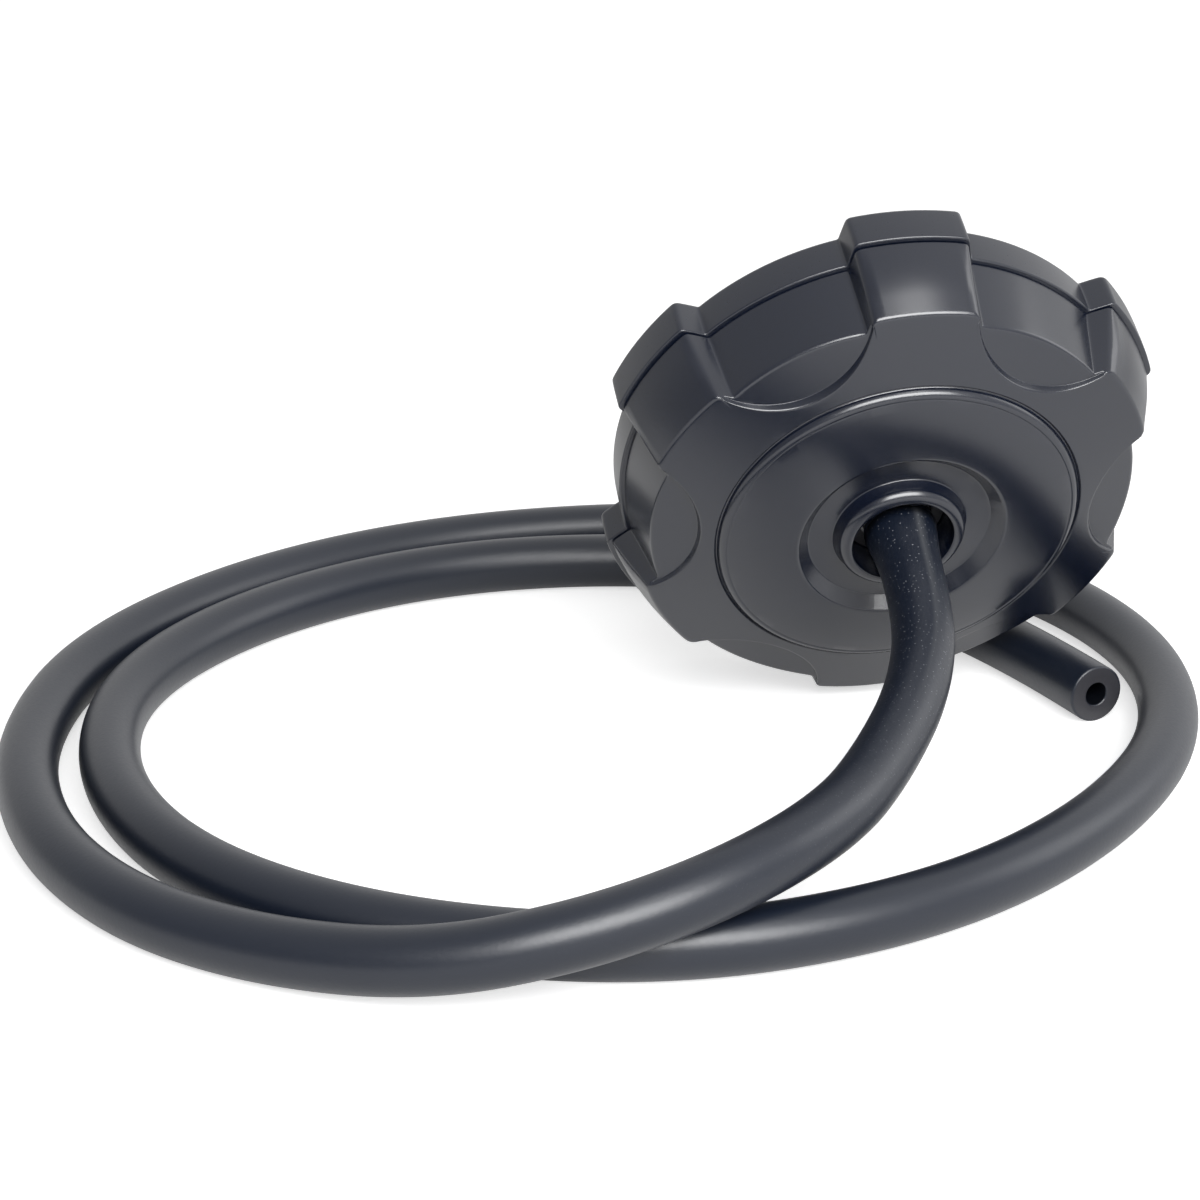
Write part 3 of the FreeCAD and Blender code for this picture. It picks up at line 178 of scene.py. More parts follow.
def screw_shape(about):
    """Points and faces of one screw: its turned profile, then the cross recess in the top of its head."""
    turns = [2 * math.pi * k / SCREW_SIDES for k in range(SCREW_SIDES)]
    cross = []
    for turn in turns:
        side = abs((turn + math.pi / 4) % (math.pi / 2) - math.pi / 4)
        cross.append(min(ARM_LENGTH / math.cos(side), ARM_HALF_WIDTH / max(math.sin(side), 1e-6)))
    circles = [([r] * SCREW_SIDES, z) for r, z in SCREW_PROFILE]
    circles += [([share * r for r in cross], z) for share, z in RECESS_PROFILE]
    points = [
        (about[0] + r * math.cos(turn), about[1] + r * math.sin(turn), z)
        for radii, z in circles for r, turn in zip(radii, turns)
    ]
    end = (len(circles) - 1) * SCREW_SIDES
    caps = [tuple(range(SCREW_SIDES))[::-1], tuple(end + k for k in range(SCREW_SIDES))]
    return points, band_faces(len(circles), SCREW_SIDES, closed=False) + caps


def metal(name, *finish):
    """A bare metal with the same grain as the mouldings."""
    material = moulded(name, *finish)
    material.node_tree.nodes["Principled BSDF"].inputs["Metallic"].default_value = 1.0
    return material


screw_steel = metal("screw_stainless", (0.42, 0.42, 0.43), (0.62, 0.62, 0.63), (0.22, 0.34), 3000, 0.08)
screw_points, screw_faces = [], []
for turn in SCREW_TURNS:
    at = (SCREW_CIRCLE * math.cos(math.radians(turn)), SCREW_CIRCLE * math.sin(math.radians(turn)))
    points, faces = screw_shape(at)
    screw_faces += [tuple(len(screw_points) + k for k in face) for face in faces]
    screw_points += points
screws = piece_of(
    "baffle_screw_set", screw_points, screw_faces, cap_place, "core", "screw_steel", screw_steel
)
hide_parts("baffle_screws")

# Check valve. A slotted cage of natural acetal guides a polished steel ball, which closes against
# the hole of a rubber seat washer; all three are stacked in the tower.
acetal = moulded("natural_acetal", (0.72, 0.72, 0.68), (0.80, 0.80, 0.77), (0.30, 0.42), 1800, 0.08)
dress("ball_cage", acetal)
dress("check_ball", metal(
    "ball_bearing_steel", (0.60, 0.60, 0.61), (0.68, 0.68, 0.69), (0.06, 0.12), 4000, 0.02
))
seal_rubber = moulded(
    "seal_rubber_moulded", (0.018, 0.018, 0.019), (0.026, 0.026, 0.027),
    rough=(0.42, 0.58), grain=2400, bump=0.12
)
dress("valve_seat", seal_rubber)

# Nipple and its seal. A black nylon spigot with two barbs stands on a thin rubber washer and
# carries the end of the hose.
dress("nipple_gasket", seal_rubber)
dress("nipple", moulded(
    "nylon_black", (0.022, 0.022, 0.024), (0.030, 0.030, 0.033),
    rough=(0.30, 0.42), grain=2600, bump=0.08
))

# Retaining clip. A snap ring cut from spring stainless sheet. It is sprung into the tower's groove
# over the nipple's flange and holds the whole stack down.
dress("retaining_clip", metal(
    "clip_stainless", (0.34, 0.34, 0.35), (0.50, 0.50, 0.51), (0.25, 0.40), 3500, 0.10
))

# Tower seal. A small moulded rubber ring, stretched into the tower's groove. The collar's sleeve
# turns on it, and it keeps grit out of the ratchet.
dress("tower_seal", seal_rubber)

# Slip ring. A thin washer cut from white slippery plastic sheet, laid loose between the deck and
# the ratchet ring.
dress("slide_ring", moulded(
    "slip_plastic_white", (0.78, 0.78, 0.76), (0.86, 0.86, 0.84),
    rough=(0.35, 0.50), grain=1500, bump=0.06
))

# Ratchet ring. Moulded in natural acetal, with three sprung pawls over the crown of teeth; its
# lugs key into the hollows of the cover's lobes.
dress("ratchet_ring", acetal)

# Cover. The front shell, one satin black polypropylene moulding: drafted wall with six grip lobes,
# round scallops bitten out of its sloping face between them, a stepped domed disc, and the well
# with the collar that the hose comes out of.
LOBES, HALF_PITCH = 6, 30.0
# A lobe's half width in degrees at its tip and at its root, its round corners, and the first lobe's turn.
TIP_ANGLE, ROOT_ANGLE, LOBE_ROUNDS, LOBE_TURN = 11.2, 13.7, (1.2, 0.5), 91.1
# The same for the hollow in a lobe, which takes a lug of the ratchet ring.
HOLLOW = (9.2, 10.7, 0.6, 0.4)
# Foot and head of the drafted wall: heights, radii of wall and lobes, and the plastic's thickness there.
FOOT, HEAD = 7.2, 19.8
WALL_AT, LOBE_AT = (42.85, 40.277), (46.7, 42.6)
WALL_THICK, LOBE_THICK = (1.9, 1.0), (2.0, 0.7)
# A lobe's wall swells by the crown, which fades out at its sides between two angles.
CROWN, CROWN_FROM, CROWN_TO = 0.48, 11.4, 8.9
WALL_SHARES = (0.06, 0.14, 0.26, 0.38, 0.50, 0.62, 0.74)
# The face slopes outward from a point (radius, height). A scallop has a floor of its own slope, which
# ends between two angles from its middle, and a rim that leans a little.
FACE_AT, FACE_FALL = (30.7, 23.05), 0.273
FACE_TOP = FACE_AT[1] + FACE_AT[0] * FACE_FALL
SCALLOP_CENTRE, SCALLOP_RADIUS = 49.1, 16.2
FLOOR_TOP, FLOOR_FALL = 29.98, 0.267
SCALLOP_END, RIM_LEAN, LEAST_FLOOR = (17.9, 18.5), (0.25, 0.10), 0.25
RIM_ROUNDS, PLAIN_ROUNDS = (0.16, 0.60), (0.02, 0.05)
# The edge between wall and face is rounder on a lobe; PLAIN_EDGE leaves room for it where no scallop is.
EDGE_ROUND, LOBE_EDGE_EXTRA, PLAIN_EDGE = 1.00, 0.60, 2.6
LOBE_EDGE_FROM, LOBE_EDGE_TO, MIDDLE_RADIUS = 13.0, 10.0, 44.0
# Bead at the disc's rim and lip of the collar, as arcs, and the dome between its foot and its head.
BEAD_AT, BEAD_RADIUS, BEAD_UNTIL = (28.55, 22.85), 1.45, 78
LIP_AT, LIP_RADIUS, LIP_UNTIL = (8.86, 25.24), 1.74, 90
DOME_FOOT, DOME_HEAD, DOME_RADIUS = (28.45, 24.34), (17.3, 26.0), 57.0
WELL_FLOOR, UNDERSIDE, LUG_ROOF = 23.8, 21.8, 18.5
SLEEVE_BORE, SLEEVE_OUTSIDE, SLEEVE_END = 8.45, 10.45, 17.0
turned_place = cap_place @ Matrix.Rotation(math.radians(LOBE_TURN), 4, "Z")


def rounded(corners, steps):
    """Closed outline with each corner (x, y, radius) eased in a number of steps; radius 0 stays sharp."""
    out = []
    for i, (x, y, radius) in enumerate(corners):
        corner = Vector((x, y))
        if radius == 0:
            out.append(corner)
            continue
        back = Vector(corners[i - 1][:2]) - corner
        onward = Vector(corners[(i + 1) % len(corners)][:2]) - corner
        if min(back.length, onward.length) < 1e-6:
            out += [corner] * (steps + 1)
            continue
        half = back.angle(onward) / 2
        reach = min(radius / max(math.tan(half), 1e-3), 0.45 * back.length, 0.45 * onward.length)
        a, b = corner + back.normalized() * reach, corner + onward.normalized() * reach
        for k in range(steps + 1):
            t = k / steps
            out.append(a * (1 - t) ** 2 + corner * 2 * t * (1 - t) + b * t * t)
    return out


def plan_radius(wall, lobe, tip, root, tip_round, root_round):
    """Outer radius against the angle from a lobe's middle: a lobe with round corners on a round wall."""
    def polar(radius, angle):
        return radius * math.cos(math.radians(angle)), radius * math.sin(math.radians(angle))

    sunk, tip_room, root_room = 0.5, 2.2, 1.8
    inner, outer = Vector(polar(wall - sunk, root)), Vector(polar(lobe, tip))
    share = min(k for k in np.linspace(0, 1, 400) if inner.lerp(outer, k).length >= wall)
    foot = inner.lerp(outer, share)
    foot_angle = math.degrees(math.atan2(foot.y, foot.x))
    line = [(*polar(lobe, a), 0.0) for a in np.linspace(0, tip - tip_room, 14)]
    line.append((outer.x, outer.y, tip_round))
    line.append((foot.x, foot.y, root_round))
    line += [(*polar(wall, a), 0.0) for a in np.linspace(foot_angle + root_room, HALF_PITCH, 20)]
    points = rounded([(0.0, 0.0, 0.0)] + line, 12)[1:]
    angles = [math.degrees(math.atan2(p.y, p.x)) for p in points]
    radii = [p.length for p in points]
    return lambda angle: float(np.interp(angle, angles, radii))


def column_angles():
    """Angles of the mesh's columns over one lobe's half pitch, close together where the shape turns."""
    runs = (
        (0.0, 8.6, 5), (8.6, 10.6, 8), (10.6, 13.4, 17),
        (13.4, 14.4, 5), (14.4, 17.0, 6), (17.0, HALF_PITCH, 13),
    )
    half = sorted({round(float(a), 4) for run in runs for a in np.linspace(*run)})
    return [-a for a in half[::-1] if 0 < a < HALF_PITCH] + half


def ring_mesh(outline_at):
    """Points and faces of a closed moulding, from a closed outline of (radius, height) at each column."""
    points, faces, rows, count = [], [], 0, 0
    for lobe in range(LOBES):
        for angle in column_angles():
            outline = outline_at(angle)
            rows, count = len(outline), count + 1
            around = math.radians(angle + lobe * 2 * HALF_PITCH)
            points += [(p[0] * math.cos(around), p[0] * math.sin(around), p[1]) for p in outline]
    for i in range(count):
        here, there = i * rows, (i + 1) % count * rows
        faces += [
            (here + k, there + k, there + (k + 1) % rows, here + (k + 1) % rows) for k in range(rows)
        ]
    return points, faces


def ease(x):
    """Smooth step from 0 to 1."""
    x = min(1.0, max(0.0, x))
    return x * x * (3 - 2 * x)


def arc(at, radius, until):
    """Corners along an arc about a centre, from level with it to an angle in degrees."""
    turns = np.radians(np.linspace(0, until, 14))
    return [(at[0] + radius * math.cos(t), at[1] + radius * math.sin(t), 0.0) for t in turns]


def dome():
    """Corners along the dome, between its foot and its head."""
    run, rise = DOME_FOOT[0] - DOME_HEAD[0], DOME_HEAD[1] - DOME_FOOT[1]
    sag = DOME_RADIUS - math.sqrt(DOME_RADIUS ** 2 - (run ** 2 + rise ** 2) / 4)
    return [
        (DOME_FOOT[0] - run * t, DOME_FOOT[1] + rise * t + sag * 4 * t * (1 - t), 0.0)
        for t in np.linspace(0, 1, 9)[1:-1]
    ]


foot_plan, head_plan = (
    plan_radius(WALL_AT[end], LOBE_AT[end], TIP_ANGLE, ROOT_ANGLE, *LOBE_ROUNDS) for end in (0, 1)
)
foot_inside, head_inside = (
    plan_radius(WALL_AT[end] - WALL_THICK[end], LOBE_AT[end] - LOBE_THICK[end], *HOLLOW) for end in (0, 1)
)
# What is the same all round: the groove about the disc, its bead and dome, the well, the collar with
# its lip and its sleeve, and the underside out to the hollows.
centre = [
    (30.62, FACE_AT[1] + 0.02, 0.16),
    (30.25, 22.72, 0.03),
    *arc(BEAD_AT, BEAD_RADIUS, BEAD_UNTIL),
    (28.68, 24.20, 0.06),
    (*DOME_FOOT, 0.0),
    *dome(),
    (*DOME_HEAD, 0.85),
    (15.2, WELL_FLOOR, 0.45),
    (13.2, WELL_FLOOR, 0.0),
    (11.1, WELL_FLOOR, 0.30),
    *arc(LIP_AT, LIP_RADIUS, LIP_UNTIL),
    (8.51, 26.91, 0.0),
    (SLEEVE_BORE, 26.75, 0.0),
    (SLEEVE_BORE, 22.0, 0.0),
    (SLEEVE_BORE, SLEEVE_END, 0.0),
    (SLEEVE_OUTSIDE, SLEEVE_END, 0.0),
    (SLEEVE_OUTSIDE, UNDERSIDE, 0.0),
    (17.3, UNDERSIDE, 0.0),
    (19.3, 23.6, 0.0),
    (31.0, 20.7, 0.0),
    (35.8, LUG_ROOF, 0.0),
]


def cover_outline(angle):
    """Section of the cover through the axis at an angle from the middle of a lobe."""
    side, off = abs(angle), HALF_PITCH - abs(angle)
    out, top, inside, inside_top = (
        plan(side) for plan in (foot_plan, head_plan, foot_inside, head_inside)
    )
    # The face or, where a scallop has bitten it, the scallop's floor; and where the wall meets it.
    bitten = 1 - ease((off - SCALLOP_END[0]) / (SCALLOP_END[1] - SCALLOP_END[0]))
    plane = FACE_TOP + (FLOOR_TOP - FACE_TOP) * bitten
    fall = FACE_FALL + (FLOOR_FALL * math.cos(math.radians(off)) - FACE_FALL) * bitten
    share = (plane - FOOT - fall * out) / (HEAD - FOOT + fall * (top - out))
    edge, edge_height = out + (top - out) * share, FOOT + (HEAD - FOOT) * share
    # The scallop's rim.
    across, bite = SCALLOP_CENTRE * math.sin(math.radians(off)), edge
    if across < SCALLOP_RADIUS:
        bite = SCALLOP_CENTRE * math.cos(math.radians(off)) - math.sqrt(SCALLOP_RADIUS ** 2 - across ** 2)
    bite = min(bite, edge - LEAST_FLOOR) if bitten > 0 else edge - PLAIN_EDGE
    low, high = bite + RIM_LEAN[0] * bitten, bite - RIM_LEAN[1]
    # The edge, wider in this section where a lobe's side runs across it.
    growth = abs(foot_plan(side + 0.1) - foot_plan(max(0.0, side - 0.1)))
    slope = growth / math.radians(0.2) / MIDDLE_RADIUS
    lobe_here = ease((LOBE_EDGE_FROM - side) / (LOBE_EDGE_FROM - LOBE_EDGE_TO))
    edge_round = (EDGE_ROUND + LOBE_EDGE_EXTRA * lobe_here) * math.sqrt(1 + min(slope, 2.0) ** 2)
    swell = CROWN * ease((CROWN_FROM - side) / (CROWN_FROM - CROWN_TO))
    corners = [
        (inside, FOOT, 0.0),
        (out, FOOT, 0.25),
        *((out + (edge - out) * k + swell * math.sin(math.pi * k), FOOT + (edge_height - FOOT) * k, 0.0)
          for k in WALL_SHARES),
        (edge, edge_height, edge_round),
        ((edge + bite) / 2, plane - fall * (edge + bite) / 2, 0.0),
        (low, plane - fall * low, RIM_ROUNDS[0] * bitten + PLAIN_ROUNDS[0]),
        (high, FACE_TOP - FACE_FALL * high, RIM_ROUNDS[1] * bitten + PLAIN_ROUNDS[1]),
        (32.0, FACE_TOP - FACE_FALL * 32.0, 0.0),
        *centre,
        (inside_top, LUG_ROOF, 0.0),
    ]
    return rounded(corners, 5)


SATIN_BLACK = (0.0014, 0.0036, 0.0115), (0.0026, 0.0052, 0.0150)
cover_plastic = moulded(
    "cover_satin_plastic", *SATIN_BLACK, rough=(0.21, 0.28), grain=2200, bump=0.04, gloss_level=1.0
)
cover = piece_of(
    "grip_cover", *ring_mesh(cover_outline), turned_place, "cover", "cover_plastic", cover_plastic
)
cover.modifiers.new("broad_faces_stay_flat", "WEIGHTED_NORMAL")
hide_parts("cover_shell")

# Band. The rear ring, moulded in the same black polypropylene, snapped into the cover from behind.
# Its lobes stand a little proud of the cover's, so a thin dark seam shows between the two.
BAND_WALL, BAND_LOBE, BAND_TOP, BAND_SWELL = 43.6, 47.5, 7.05, 0.05
TONGUE_OUTSIDE, TONGUE_INSIDE, TONGUE_TOP = 40.9, 38.8, 10.0
BACK_LIP, BACK_LIP_TOP = 36.0, 2.3
band_plan = plan_radius(BAND_WALL, BAND_LOBE, TIP_ANGLE, ROOT_ANGLE, *LOBE_ROUNDS)


def band_outline(angle):
    """Section of the band through the axis at an angle from the middle of a lobe."""
    out = band_plan(abs(angle))
    return rounded([
        (TONGUE_OUTSIDE, TONGUE_TOP, 0.0),
        (TONGUE_OUTSIDE, BAND_TOP, 0.0),
        (out, BAND_TOP, 0.38),
        (out + BAND_SWELL, 4.6, 0.0),
        (out + BAND_SWELL, 2.4, 0.0),
        (out, 0.0, 0.85),
        (39.0, 0.0, 0.0),
        (BACK_LIP, 0.0, 0.35),
        (BACK_LIP, BACK_LIP_TOP, 0.2),
        (TONGUE_INSIDE, BACK_LIP_TOP, 0.0),
        (TONGUE_INSIDE, TONGUE_TOP, 0.3),
    ], 5)


band_plastic = moulded(
    "band_satin_plastic", *SATIN_BLACK, rough=(0.25, 0.33), grain=2200, bump=0.05, gloss_level=0.95
)
band = piece_of(
    "grip_band", *ring_mesh(band_outline), turned_place, "cover", "band_plastic", band_plastic
)
band.modifiers.new("broad_faces_stay_flat", "WEIGHTED_NORMAL")
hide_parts("rear_ring")

# Hose. Extruded matt black rubber, 10 mm outside with a 4 mm bore. Its end is pushed over the
# nipple's barbs inside the collar, where it stretches to a thicker sleeve; the rest runs down to
# the floor and lies in about two loose loops, to a square cut made with a knife.
HOSE_RADIUS, HOSE_BORE = 5.0, 2.0
HOSE_ROUTE = (
    (0.0, -0.013266, 0.038255), (0.0, -0.029950, 0.030261), (-0.0055, -0.0470, 0.0245),
    (-0.0150, -0.0625, 0.0200), (-0.0260, -0.0780, 0.0180), (-0.0450, -0.0920, 0.0160),
    (-0.0670, -0.0970, 0.0120), (-0.0890, -0.0925, 0.0070), (-0.1115, -0.0795, 0.0050),
    (-0.1300, -0.0615, 0.0050), (-0.1415, -0.0340, 0.0050), (-0.1435, 0.0005, 0.0050),
    (-0.1325, 0.0385, 0.0050), (-0.1050, 0.0695, 0.0050), (-0.0690, 0.0880, 0.0050),
    (-0.0280, 0.0915, 0.0050), (0.0120, 0.0815, 0.0050), (0.0410, 0.0520, 0.0050),
    (0.0530, 0.0130, 0.0050), (0.0455, -0.0265, 0.0050), (0.0210, -0.0600, 0.0050),
    (-0.0120, -0.0830, 0.0050), (-0.0520, -0.0910, 0.0050), (-0.0910, -0.0785, 0.0050),
    (-0.1190, -0.0520, 0.0050), (-0.1310, -0.0155, 0.0050), (-0.1265, 0.0235, 0.0050),
    (-0.1035, 0.0545, 0.0050), (-0.0695, 0.0730, 0.0050), (-0.0310, 0.0740, 0.0050),
    (0.0035, 0.0595, 0.0050), (0.0275, 0.0280, 0.0050), (0.0370, -0.0085, 0.0050),
)
route = bpy.data.curves.new("hose_route", "CURVE")
route.dimensions = "3D"
spline = route.splines.new("NURBS")
spline.points.add(len(HOSE_ROUTE) - 1)
for point, place in zip(spline.points, HOSE_ROUTE):
    point.co = (*place, 1.0)
spline.order_u = 3
spline.use_endpoint_u = True
spline.resolution_u = 16
route_object = bpy.data.objects.new("hose_route", route)
line_mesh = bpy.data.meshes.new_from_object(route_object)
hose_line = [v.co.copy() for v in line_mesh.vertices]
bpy.data.meshes.remove(line_mesh)
bpy.data.objects.remove(route_object)

# At each point of the line: the way ahead, the length so far, and a side that doesn't twist.
ahead = [(b - a).normalized() for a, b in zip(hose_line, hose_line[1:])]
ahead = [ahead[0]] + [(a + b).normalized() for a, b in zip(ahead, ahead[1:])] + [ahead[-1]]
along = [0.0]
for a, b in zip(hose_line, hose_line[1:]):
    along.append(along[-1] + (b - a).length)
across = [Vector((1, 0, 0))]
for before, now in zip(ahead, ahead[1:]):
    across.append(before.rotation_difference(now) @ across[-1])
HOSE_SIDES = 44
hose_turns = [2 * math.pi * k / HOSE_SIDES for k in range(HOSE_SIDES)]


def hose_ring(i, radius, slip=0.0):
    """Points of a ring of the hose at one point of its line, moved along by slip; all in metres."""
    side = across[i] - ahead[i] * across[i].dot(ahead[i])
    side.normalize()
    up = ahead[i].cross(side)
    middle = hose_line[i] + ahead[i] * slip
    return [middle + (side * math.cos(t) + up * math.sin(t)) * radius for t in hose_turns]


# The skin from the collar, where the hose is still a little stretched, to the cut; its eased edge,
# the cut face, and the bore back to the start.
FLARE, FLARE_LENGTH = 0.0010, 0.0050
last = len(hose_line) - 1
outer, bore = HOSE_RADIUS * MM, HOSE_BORE * MM
rings = [(i, outer + FLARE * math.exp(-(along[i] / FLARE_LENGTH) ** 1.5), 0.0) for i in range(last)]
rings += [(last, outer, -0.0005), (last, outer - 0.00004, -0.0002), (last, outer - 0.00020, -0.00004)]
SKIN_RINGS = len(rings)
rings += [(last, outer - 0.0005, 0.0), (last, (outer + bore) / 2, -0.00005), (last, bore + 0.0003, 0.0)]
rings += [(last, bore + 0.00008, -0.00008)]
INSIDE_FROM = len(rings)
rings += [(last, bore, -0.0004)] + [(i, bore, 0.0) for i in range(last - 2, 0, -3)] + [(0, bore, 0.0)]
# Masks for the rubber's tones: a pale line along one side just outside the collar, talc dust about it,
# the cut face, and the bore, darkened as painted shade.
PALE_LINE_TURN, PALE_LINE_WIDTH, PALE_LINE_LENGTH = math.radians(72), math.radians(7), 0.032
DUST_LENGTH = 0.060
hose_points = []
masks = {"hose_pale_line": [], "hose_dust": [], "hose_cut": [], "hose_inside": []}
for n, (i, radius, slip) in enumerate(rings):
    hose_points += hose_ring(i, radius, slip)
    on_skin = n < SKIN_RINGS
    for turn in hose_turns:
        off = (turn - PALE_LINE_TURN) / PALE_LINE_WIDTH
        masks["hose_pale_line"].append(on_skin * math.exp(-off ** 2 - (along[i] / PALE_LINE_LENGTH) ** 2))
        masks["hose_dust"].append(on_skin * math.exp(-(along[i] / DUST_LENGTH) ** 2))
        masks["hose_cut"].append(float(SKIN_RINGS <= n < INSIDE_FROM - 1))
        masks["hose_inside"].append(float(n >= INSIDE_FROM))
rubber = moulded(
    "hose_matt_rubber", (0.0026, 0.0056, 0.0140), (0.0055, 0.0092, 0.0190),
    rough=(0.31, 0.42), grain=1700, bump=0.20, gloss_level=0.74
)


def veil(material, mask, colour):
    """Lay one more tone over a material's colour where the mask is 1."""
    shader = material.node_tree.nodes["Principled BSDF"]
    under = shader.inputs["Base Color"].links[0].from_socket
    mix = wire(material, "ShaderNodeMix", data_type="RGBA")
    mix.inputs["B"].default_value = (*colour, 1)
    links = material.node_tree.links
    links.new(under, mix.inputs["A"])
    links.new(mask, mix.inputs["Factor"])
    links.new(mix.outputs["Result"], shader.inputs["Base Color"])


def mesh_mask(material, name):
    """A mask stored on the mesh's points."""
    return wire(material, "ShaderNodeAttribute", attribute_name=name).outputs["Fac"]


# The dust is specks of talc, light against the rubber and up to 0.2 mm across.
SPECK_SCALE, SPECK_EDGE = 1500.0, (0.17, 0.09)
where = wire(rubber, "ShaderNodeTexCoord").outputs["Object"]
specks = wire(rubber, "ShaderNodeTexVoronoi", {"Vector": where}, Scale=SPECK_SCALE).outputs["Distance"]
speck = wire(rubber, "ShaderNodeMapRange", {"Value": specks})
speck.inputs["From Min"].default_value, speck.inputs["From Max"].default_value = SPECK_EDGE
dust = {0: speck.outputs["Result"], 1: mesh_mask(rubber, "hose_dust")}
dusty = wire(rubber, "ShaderNodeMath", dust, operation="MULTIPLY")
# A pale line along one side of the hose, fading out within about 30 mm of the collar.
veil(rubber, mesh_mask(rubber, "hose_pale_line"), (0.060, 0.064, 0.072))
veil(rubber, dusty.outputs[0], (0.22, 0.23, 0.25))
veil(rubber, mesh_mask(rubber, "hose_cut"), (0.034, 0.034, 0.040))
# Painted shade: the bore is coloured darker than the outside of the same rubber.
veil(rubber, mesh_mask(rubber, "hose_inside"), (0.0012, 0.0020, 0.0040))
hose_mesh = bpy.data.meshes.new("free_hose")
hose_mesh.from_pydata(hose_points, [], band_faces(len(rings), HOSE_SIDES, closed=True))
hose_mesh.shade_smooth()
hose_mesh.materials.append(rubber)
for name, values in masks.items():
    mask = hose_mesh.attributes.new(name, "FLOAT", "POINT")
    mask.data.foreach_set("value", np.array(values, np.float32))
hose = bpy.data.objects.new("free_hose", hose_mesh)
bpy.context.scene.collection.objects.link(hose)
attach(hose, "core")
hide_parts("breather_hose")

# The held end: a sleeve over the barbs, as (radius, height), out to where the free hose takes over.
HELD = (
    (3.25, 19.85), (5.35, 19.85), (5.6, 20.1), (5.62, 21.4), (5.62, 22.4), (5.75, 23.0), (5.90, 23.6),
    (5.98, 24.1), (6.00, 24.5), (2.0, 24.5), (2.0, 24.3), (3.25, 22.5),
)
held_points = [(r * math.cos(turn), r * math.sin(turn), z) for r, z in HELD for turn in hose_turns]
held_faces = band_faces(len(HELD), HOSE_SIDES, closed=True)
held_end = piece_of(
    "hose_stretched_end", held_points, held_faces, cap_place, "core", "hose_rubber", rubber
)
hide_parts("hose_held_end")

# Floor. A pale studio table. It shows near white to the camera by a glow of its own, less of it in
# gloss, and the lamps' light on its dull skin keeps the cap's and the hose's soft shadow.
REACH = 4.0
DULL_WHITE, GLOW, GLOW_IN_GLOSS = 0.80, 0.60, 0.32
# Far from the lamps the glow is stronger, so that the table stays as pale as it is near them.
GLOW_FROM, GLOW_TO, FAR_GLOW = 0.4, 1.6, 1.67
table = bpy.data.materials.new("pale_table")
table.use_nodes = True
shader = table.node_tree.nodes["Principled BSDF"]
shader.inputs["Base Color"].default_value = (DULL_WHITE, DULL_WHITE, DULL_WHITE, 1)
shader.inputs["Roughness"].default_value = 1.0
shader.inputs["Specular IOR Level"].default_value = 0.0
ray = wire(table, "ShaderNodeLightPath").outputs
rays = {0: ray["Is Glossy Ray"], 2: ray["Is Camera Ray"]}
seen = wire(table, "ShaderNodeMath", rays, operation="MULTIPLY_ADD")
seen.inputs[1].default_value = GLOW_IN_GLOSS
spot = wire(table, "ShaderNodeTexCoord").outputs["Object"]
far = wire(table, "ShaderNodeVectorMath", {0: spot}, operation="LENGTH").outputs["Value"]
more = wire(table, "ShaderNodeMapRange", {"Value": far})
more.inputs["From Min"].default_value, more.inputs["From Max"].default_value = GLOW_FROM, GLOW_TO
more.inputs["To Min"].default_value, more.inputs["To Max"].default_value = 1.0, FAR_GLOW
own = wire(table, "ShaderNodeMath", {0: seen.outputs[0], 1: more.outputs[0]}, operation="MULTIPLY")
glow = wire(table, "ShaderNodeEmission", {"Strength": own.outputs[0]})
glow.inputs["Color"].default_value = (GLOW, GLOW, GLOW, 1)
both = wire(table, "ShaderNodeAddShader", {0: shader.outputs[0], 1: glow.outputs[0]})
table.node_tree.links.new(both.outputs[0], table.node_tree.nodes["Material Output"].inputs["Surface"])
floor_mesh = bpy.data.meshes.new("studio_floor")
floor_corners = [(-REACH, -REACH, 0), (REACH, -REACH, 0), (REACH, REACH, 0), (-REACH, REACH, 0)]
floor_mesh.from_pydata(floor_corners, [], [(0, 1, 2, 3)])
floor_mesh.materials.append(table)
floor = bpy.data.objects.new("studio_floor", floor_mesh)
bpy.context.scene.collection.objects.link(floor)

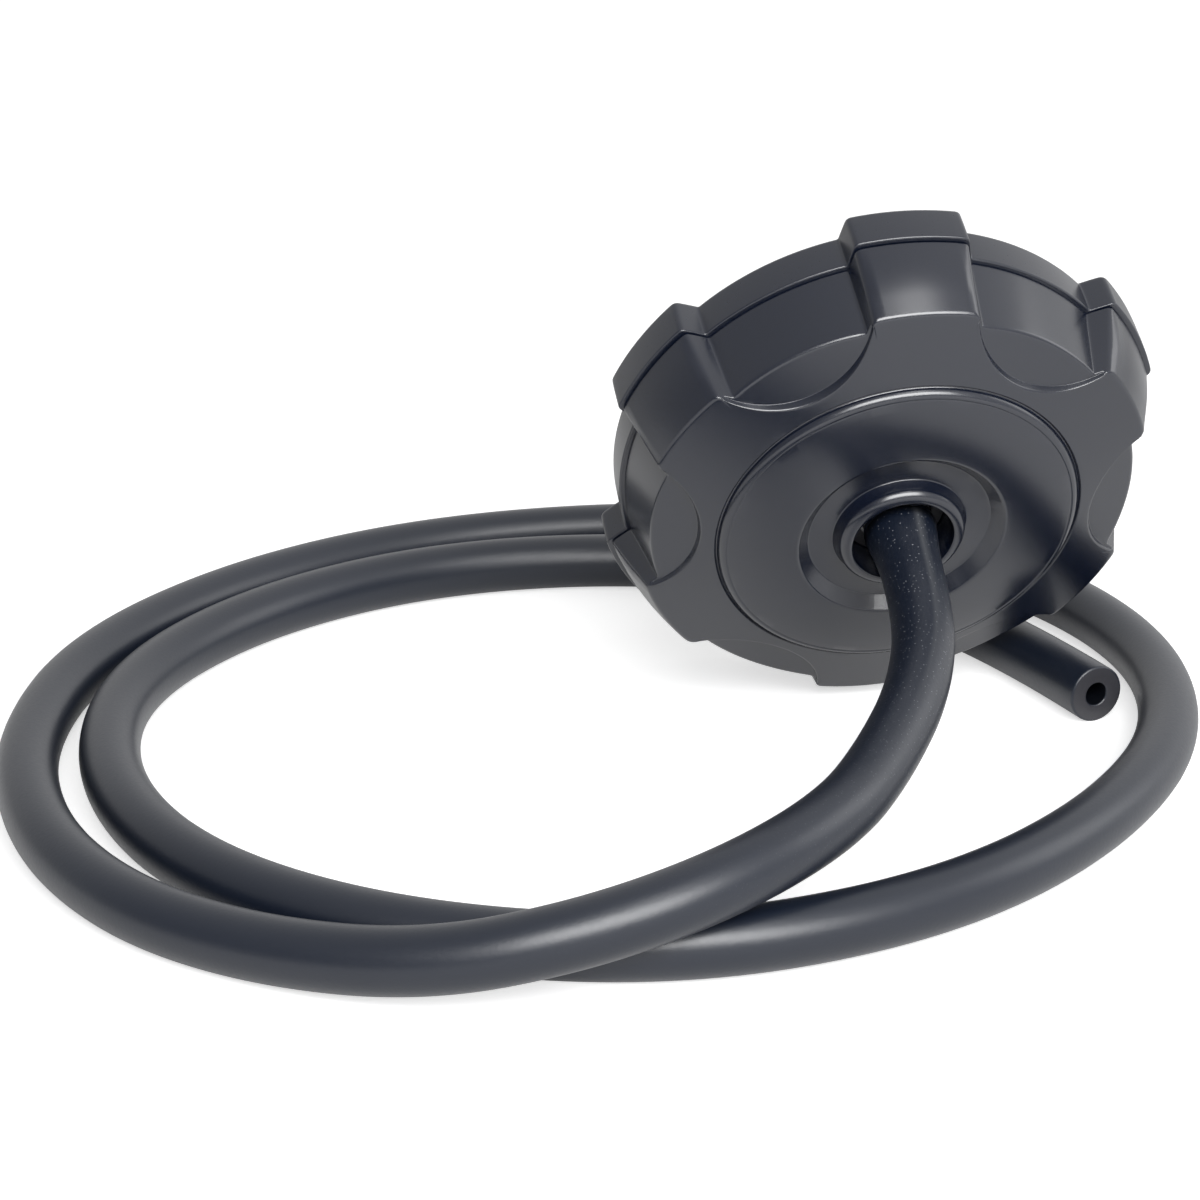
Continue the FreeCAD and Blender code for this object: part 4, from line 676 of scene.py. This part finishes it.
# Light. A white room, a little brighter to the right and behind, with a wide soft box in front above
# the camera, a weaker one at the right and a small one high in front. The room shows white to the
# camera, is dim as plain light, and is brighter in gloss.
DIM, IN_GLOSS = 0.19, 0.68
BRIGHTER_TOWARD = (0.50, 0.30, 0.0)
world = bpy.data.worlds.new("white_room")
world.use_nodes = True
bpy.context.scene.world = world
surround = world.node_tree.nodes["Background"]
surround.inputs["Color"].default_value = (1, 1, 1, 1)
ray = wire(world, "ShaderNodeLightPath").outputs
toward = wire(world, "ShaderNodeTexCoord").outputs["Generated"]
lean = wire(world, "ShaderNodeVectorMath", {0: toward}, operation="DOT_PRODUCT")
lean.inputs[1].default_value = BRIGHTER_TOWARD
uneven = wire(world, "ShaderNodeMath", {0: lean.outputs["Value"]}, operation="ADD")
uneven.inputs[1].default_value = 1.0
level = wire(world, "ShaderNodeMapRange", {"Value": ray["Is Glossy Ray"]})
level.inputs["To Min"].default_value, level.inputs["To Max"].default_value = DIM, IN_GLOSS
room = wire(world, "ShaderNodeMath", {0: uneven.outputs[0], 1: level.outputs[0]}, operation="MULTIPLY")
shown = wire(world, "ShaderNodeMath", {0: room.outputs[0], 1: ray["Is Camera Ray"]}, operation="MAXIMUM")
world.node_tree.links.new(shown.outputs[0], surround.inputs["Strength"])


def soft_box(name, place, aim, size, watts):
    """A soft box at a place, turned to its aim."""
    lamp = bpy.data.lights.new(name, "AREA")
    lamp.shape = "RECTANGLE"
    lamp.size, lamp.size_y = size
    lamp.energy = watts
    box = bpy.data.objects.new(name, lamp)
    box.location = place
    box.rotation_euler = (Vector(aim) - Vector(place)).to_track_quat("-Z", "Y").to_euler()
    bpy.context.scene.collection.objects.link(box)


soft_box("front_box", (0.05, -1.00, 0.72), (0, 0, 0.03), (1.10, 0.64), 21.0)
soft_box("right_box", (1.10, 0.0, 0.55), (0, 0, 0.03), (0.6, 0.6), 1.8)
soft_box("top_box", (0.17, -0.48, 0.98), (0, 0, 0.09), (0.30, 0.24), 0.8)

# Camera. It stands as the photograph's did, 0.53 m away and looking down at 20.5 degrees, with a
# long lens: its focal length is 3100 pixels of the 1200 that the picture is wide.
FOCAL_PIXELS, PHOTO_PIXELS, SENSOR = 3100.0, 1200.0, 36.0
CAMERA_AT, CAMERA_AIM = (-0.1314, -0.4757, 0.2051), (0.1628, 0.9224, -0.3502)
lens = bpy.data.cameras.new("photo_camera")
lens.sensor_width = SENSOR
lens.lens = FOCAL_PIXELS / PHOTO_PIXELS * SENSOR
camera = bpy.data.objects.new("photo_camera", lens)
camera.location = CAMERA_AT
camera.rotation_euler = Vector(CAMERA_AIM).to_track_quat("-Z", "Y").to_euler()
bpy.context.scene.collection.objects.link(camera)
bpy.context.scene.camera = camera
bpy.context.scene.view_settings.view_transform = "Standard"
